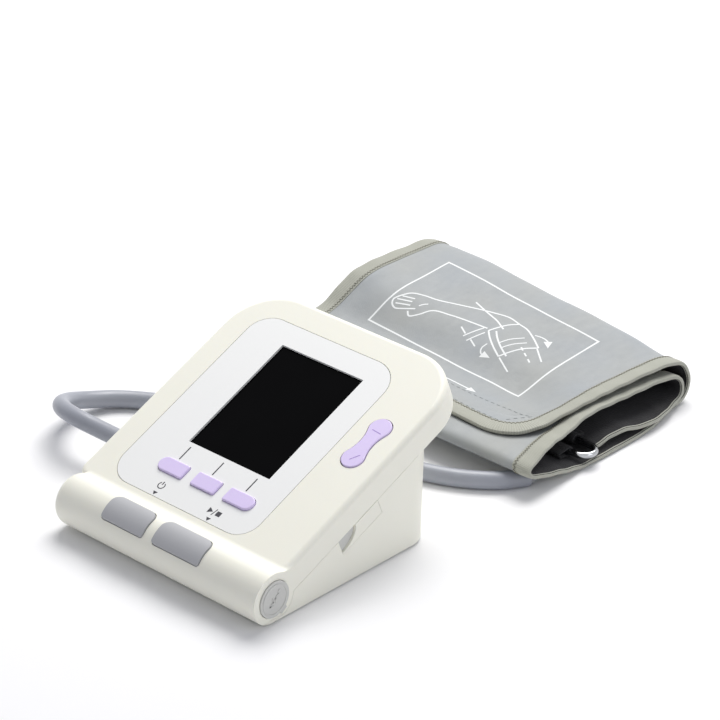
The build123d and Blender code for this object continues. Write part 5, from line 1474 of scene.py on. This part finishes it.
class MONITOR_OT_set_stage(bpy.types.Operator):
    """Set the floor, the lamps, the world and the camera"""

    bl_idname = "monitor.set_stage"
    bl_label = "Set Stage"

    def execute(self, context):
        settings = context.scene.monitor_stage
        self.floor(settings)
        self.lamps(settings)
        self.world(context.scene)
        self.camera(context.scene, settings)
        context.scene.view_settings.view_transform = "Standard"
        return {"FINISHED"}

    @staticmethod
    def floor(settings):
        mesh = bpy.data.meshes.new("floor")
        corners = [(x * FLOOR_REACH, y * FLOOR_REACH, 0) for x, y in ((-1, -1), (1, -1), (1, 1), (-1, 1))]
        mesh.from_pydata(corners, [], [(0, 1, 2, 3)])
        paper = Finish("Floor Paper", 0.9, Base_Color=(*settings.floor_colour, 1.0), Specular_IOR_Level=0.1)
        mesh.materials.append(paper.material)
        made_object("floor", mesh)

    @staticmethod
    def lamps(settings):
        softbox("key_softbox", KEY_PLACE, STAGE_MIDDLE, KEY_SIZE, settings.key_power, KEY_TINT)
        softbox("side_softbox", SIDE_PLACE, STAGE_MIDDLE, SIDE_SIZE, settings.key_power * SIDE_SHARE,
                SIDE_TINT)

    @staticmethod
    def world(scene):
        """White where the camera looks, and a weaker room light for everything else."""
        world = bpy.data.worlds.new("Studio")
        world.use_nodes = True
        tree = world.node_tree
        room, sky = tree.nodes["Background"], tree.nodes.new("ShaderNodeBackground")
        for shader, colour, strength in ((room, ROOM_LIGHT, ROOM_STRENGTH), (sky, WHITE, 1.0)):
            shader.inputs["Color"].default_value = colour
            shader.inputs["Strength"].default_value = strength
        mix = tree.nodes.new("ShaderNodeMixShader")
        for socket, source in zip(mix.inputs, (white_to_camera(tree), room.outputs[0], sky.outputs[0])):
            tree.links.new(source, socket)
        tree.links.new(mix.outputs[0], tree.nodes["World Output"].inputs["Surface"])
        scene.world = world

    @staticmethod
    def camera(scene, settings):
        data = bpy.data.cameras.new("photo_camera")
        data.sensor_width, data.lens = 36.0, settings.lens
        data.clip_start, data.clip_end = 0.05, 20.0
        camera = made_object("photo_camera", data)
        turned = Matrix.Rotation(math.radians(CAMERA_YAW), 4, "Z")
        turned = turned @ Matrix.Rotation(math.radians(90 - CAMERA_DIP), 4, "X")
        turned = turned @ Matrix.Rotation(math.radians(CAMERA_ROLL), 4, "Z")
        camera.matrix_world = Matrix.Translation(Vector(placed(CAMERA_PLACE))) @ turned
        scene.camera = camera


class MONITOR_PT_sidebar(bpy.types.Panel):
    bl_label = "Blood Pressure Monitor"
    bl_idname = "MONITOR_PT_sidebar"
    bl_space_type = "VIEW_3D"
    bl_region_type = "UI"
    bl_category = "Monitor"

    def draw(self, context):
        for label, owner in GROUPS.items():
            settings = getattr(context.scene, label)
            box = self.layout.box()
            for prop in owner.__annotations__:
                box.prop(settings, prop)
        for operator in OPERATORS:
            self.layout.operator(operator.bl_idname)


GROUPS = {"monitor_casing": CasingSettings, "monitor_hose": HoseSettings, "monitor_cuff": CuffSettings,
          "monitor_stage": StageSettings}
OPERATORS = (MONITOR_OT_set_stage, MONITOR_OT_finish_casing, MONITOR_OT_lay_hose, MONITOR_OT_sew_cuff,
             MONITOR_OT_fit_ring, MONITOR_OT_print_marks, MONITOR_OT_fit_insides, MONITOR_OT_add_grips)


def register():
    for owner in (*GROUPS.values(), *OPERATORS, MONITOR_PT_sidebar):
        bpy.utils.register_class(owner)
    for label, owner in GROUPS.items():
        setattr(bpy.types.Scene, label, bpy.props.PointerProperty(type=owner))


def unregister():
    for label in GROUPS:
        delattr(bpy.types.Scene, label)
    for owner in reversed((*GROUPS.values(), *OPERATORS, MONITOR_PT_sidebar)):
        bpy.utils.unregister_class(owner)


def main():
    register()
    for operator in OPERATORS:
        group, name = operator.bl_idname.split(".")
        getattr(getattr(bpy.ops, group), name)()


if __name__ == "__main__":
    main()
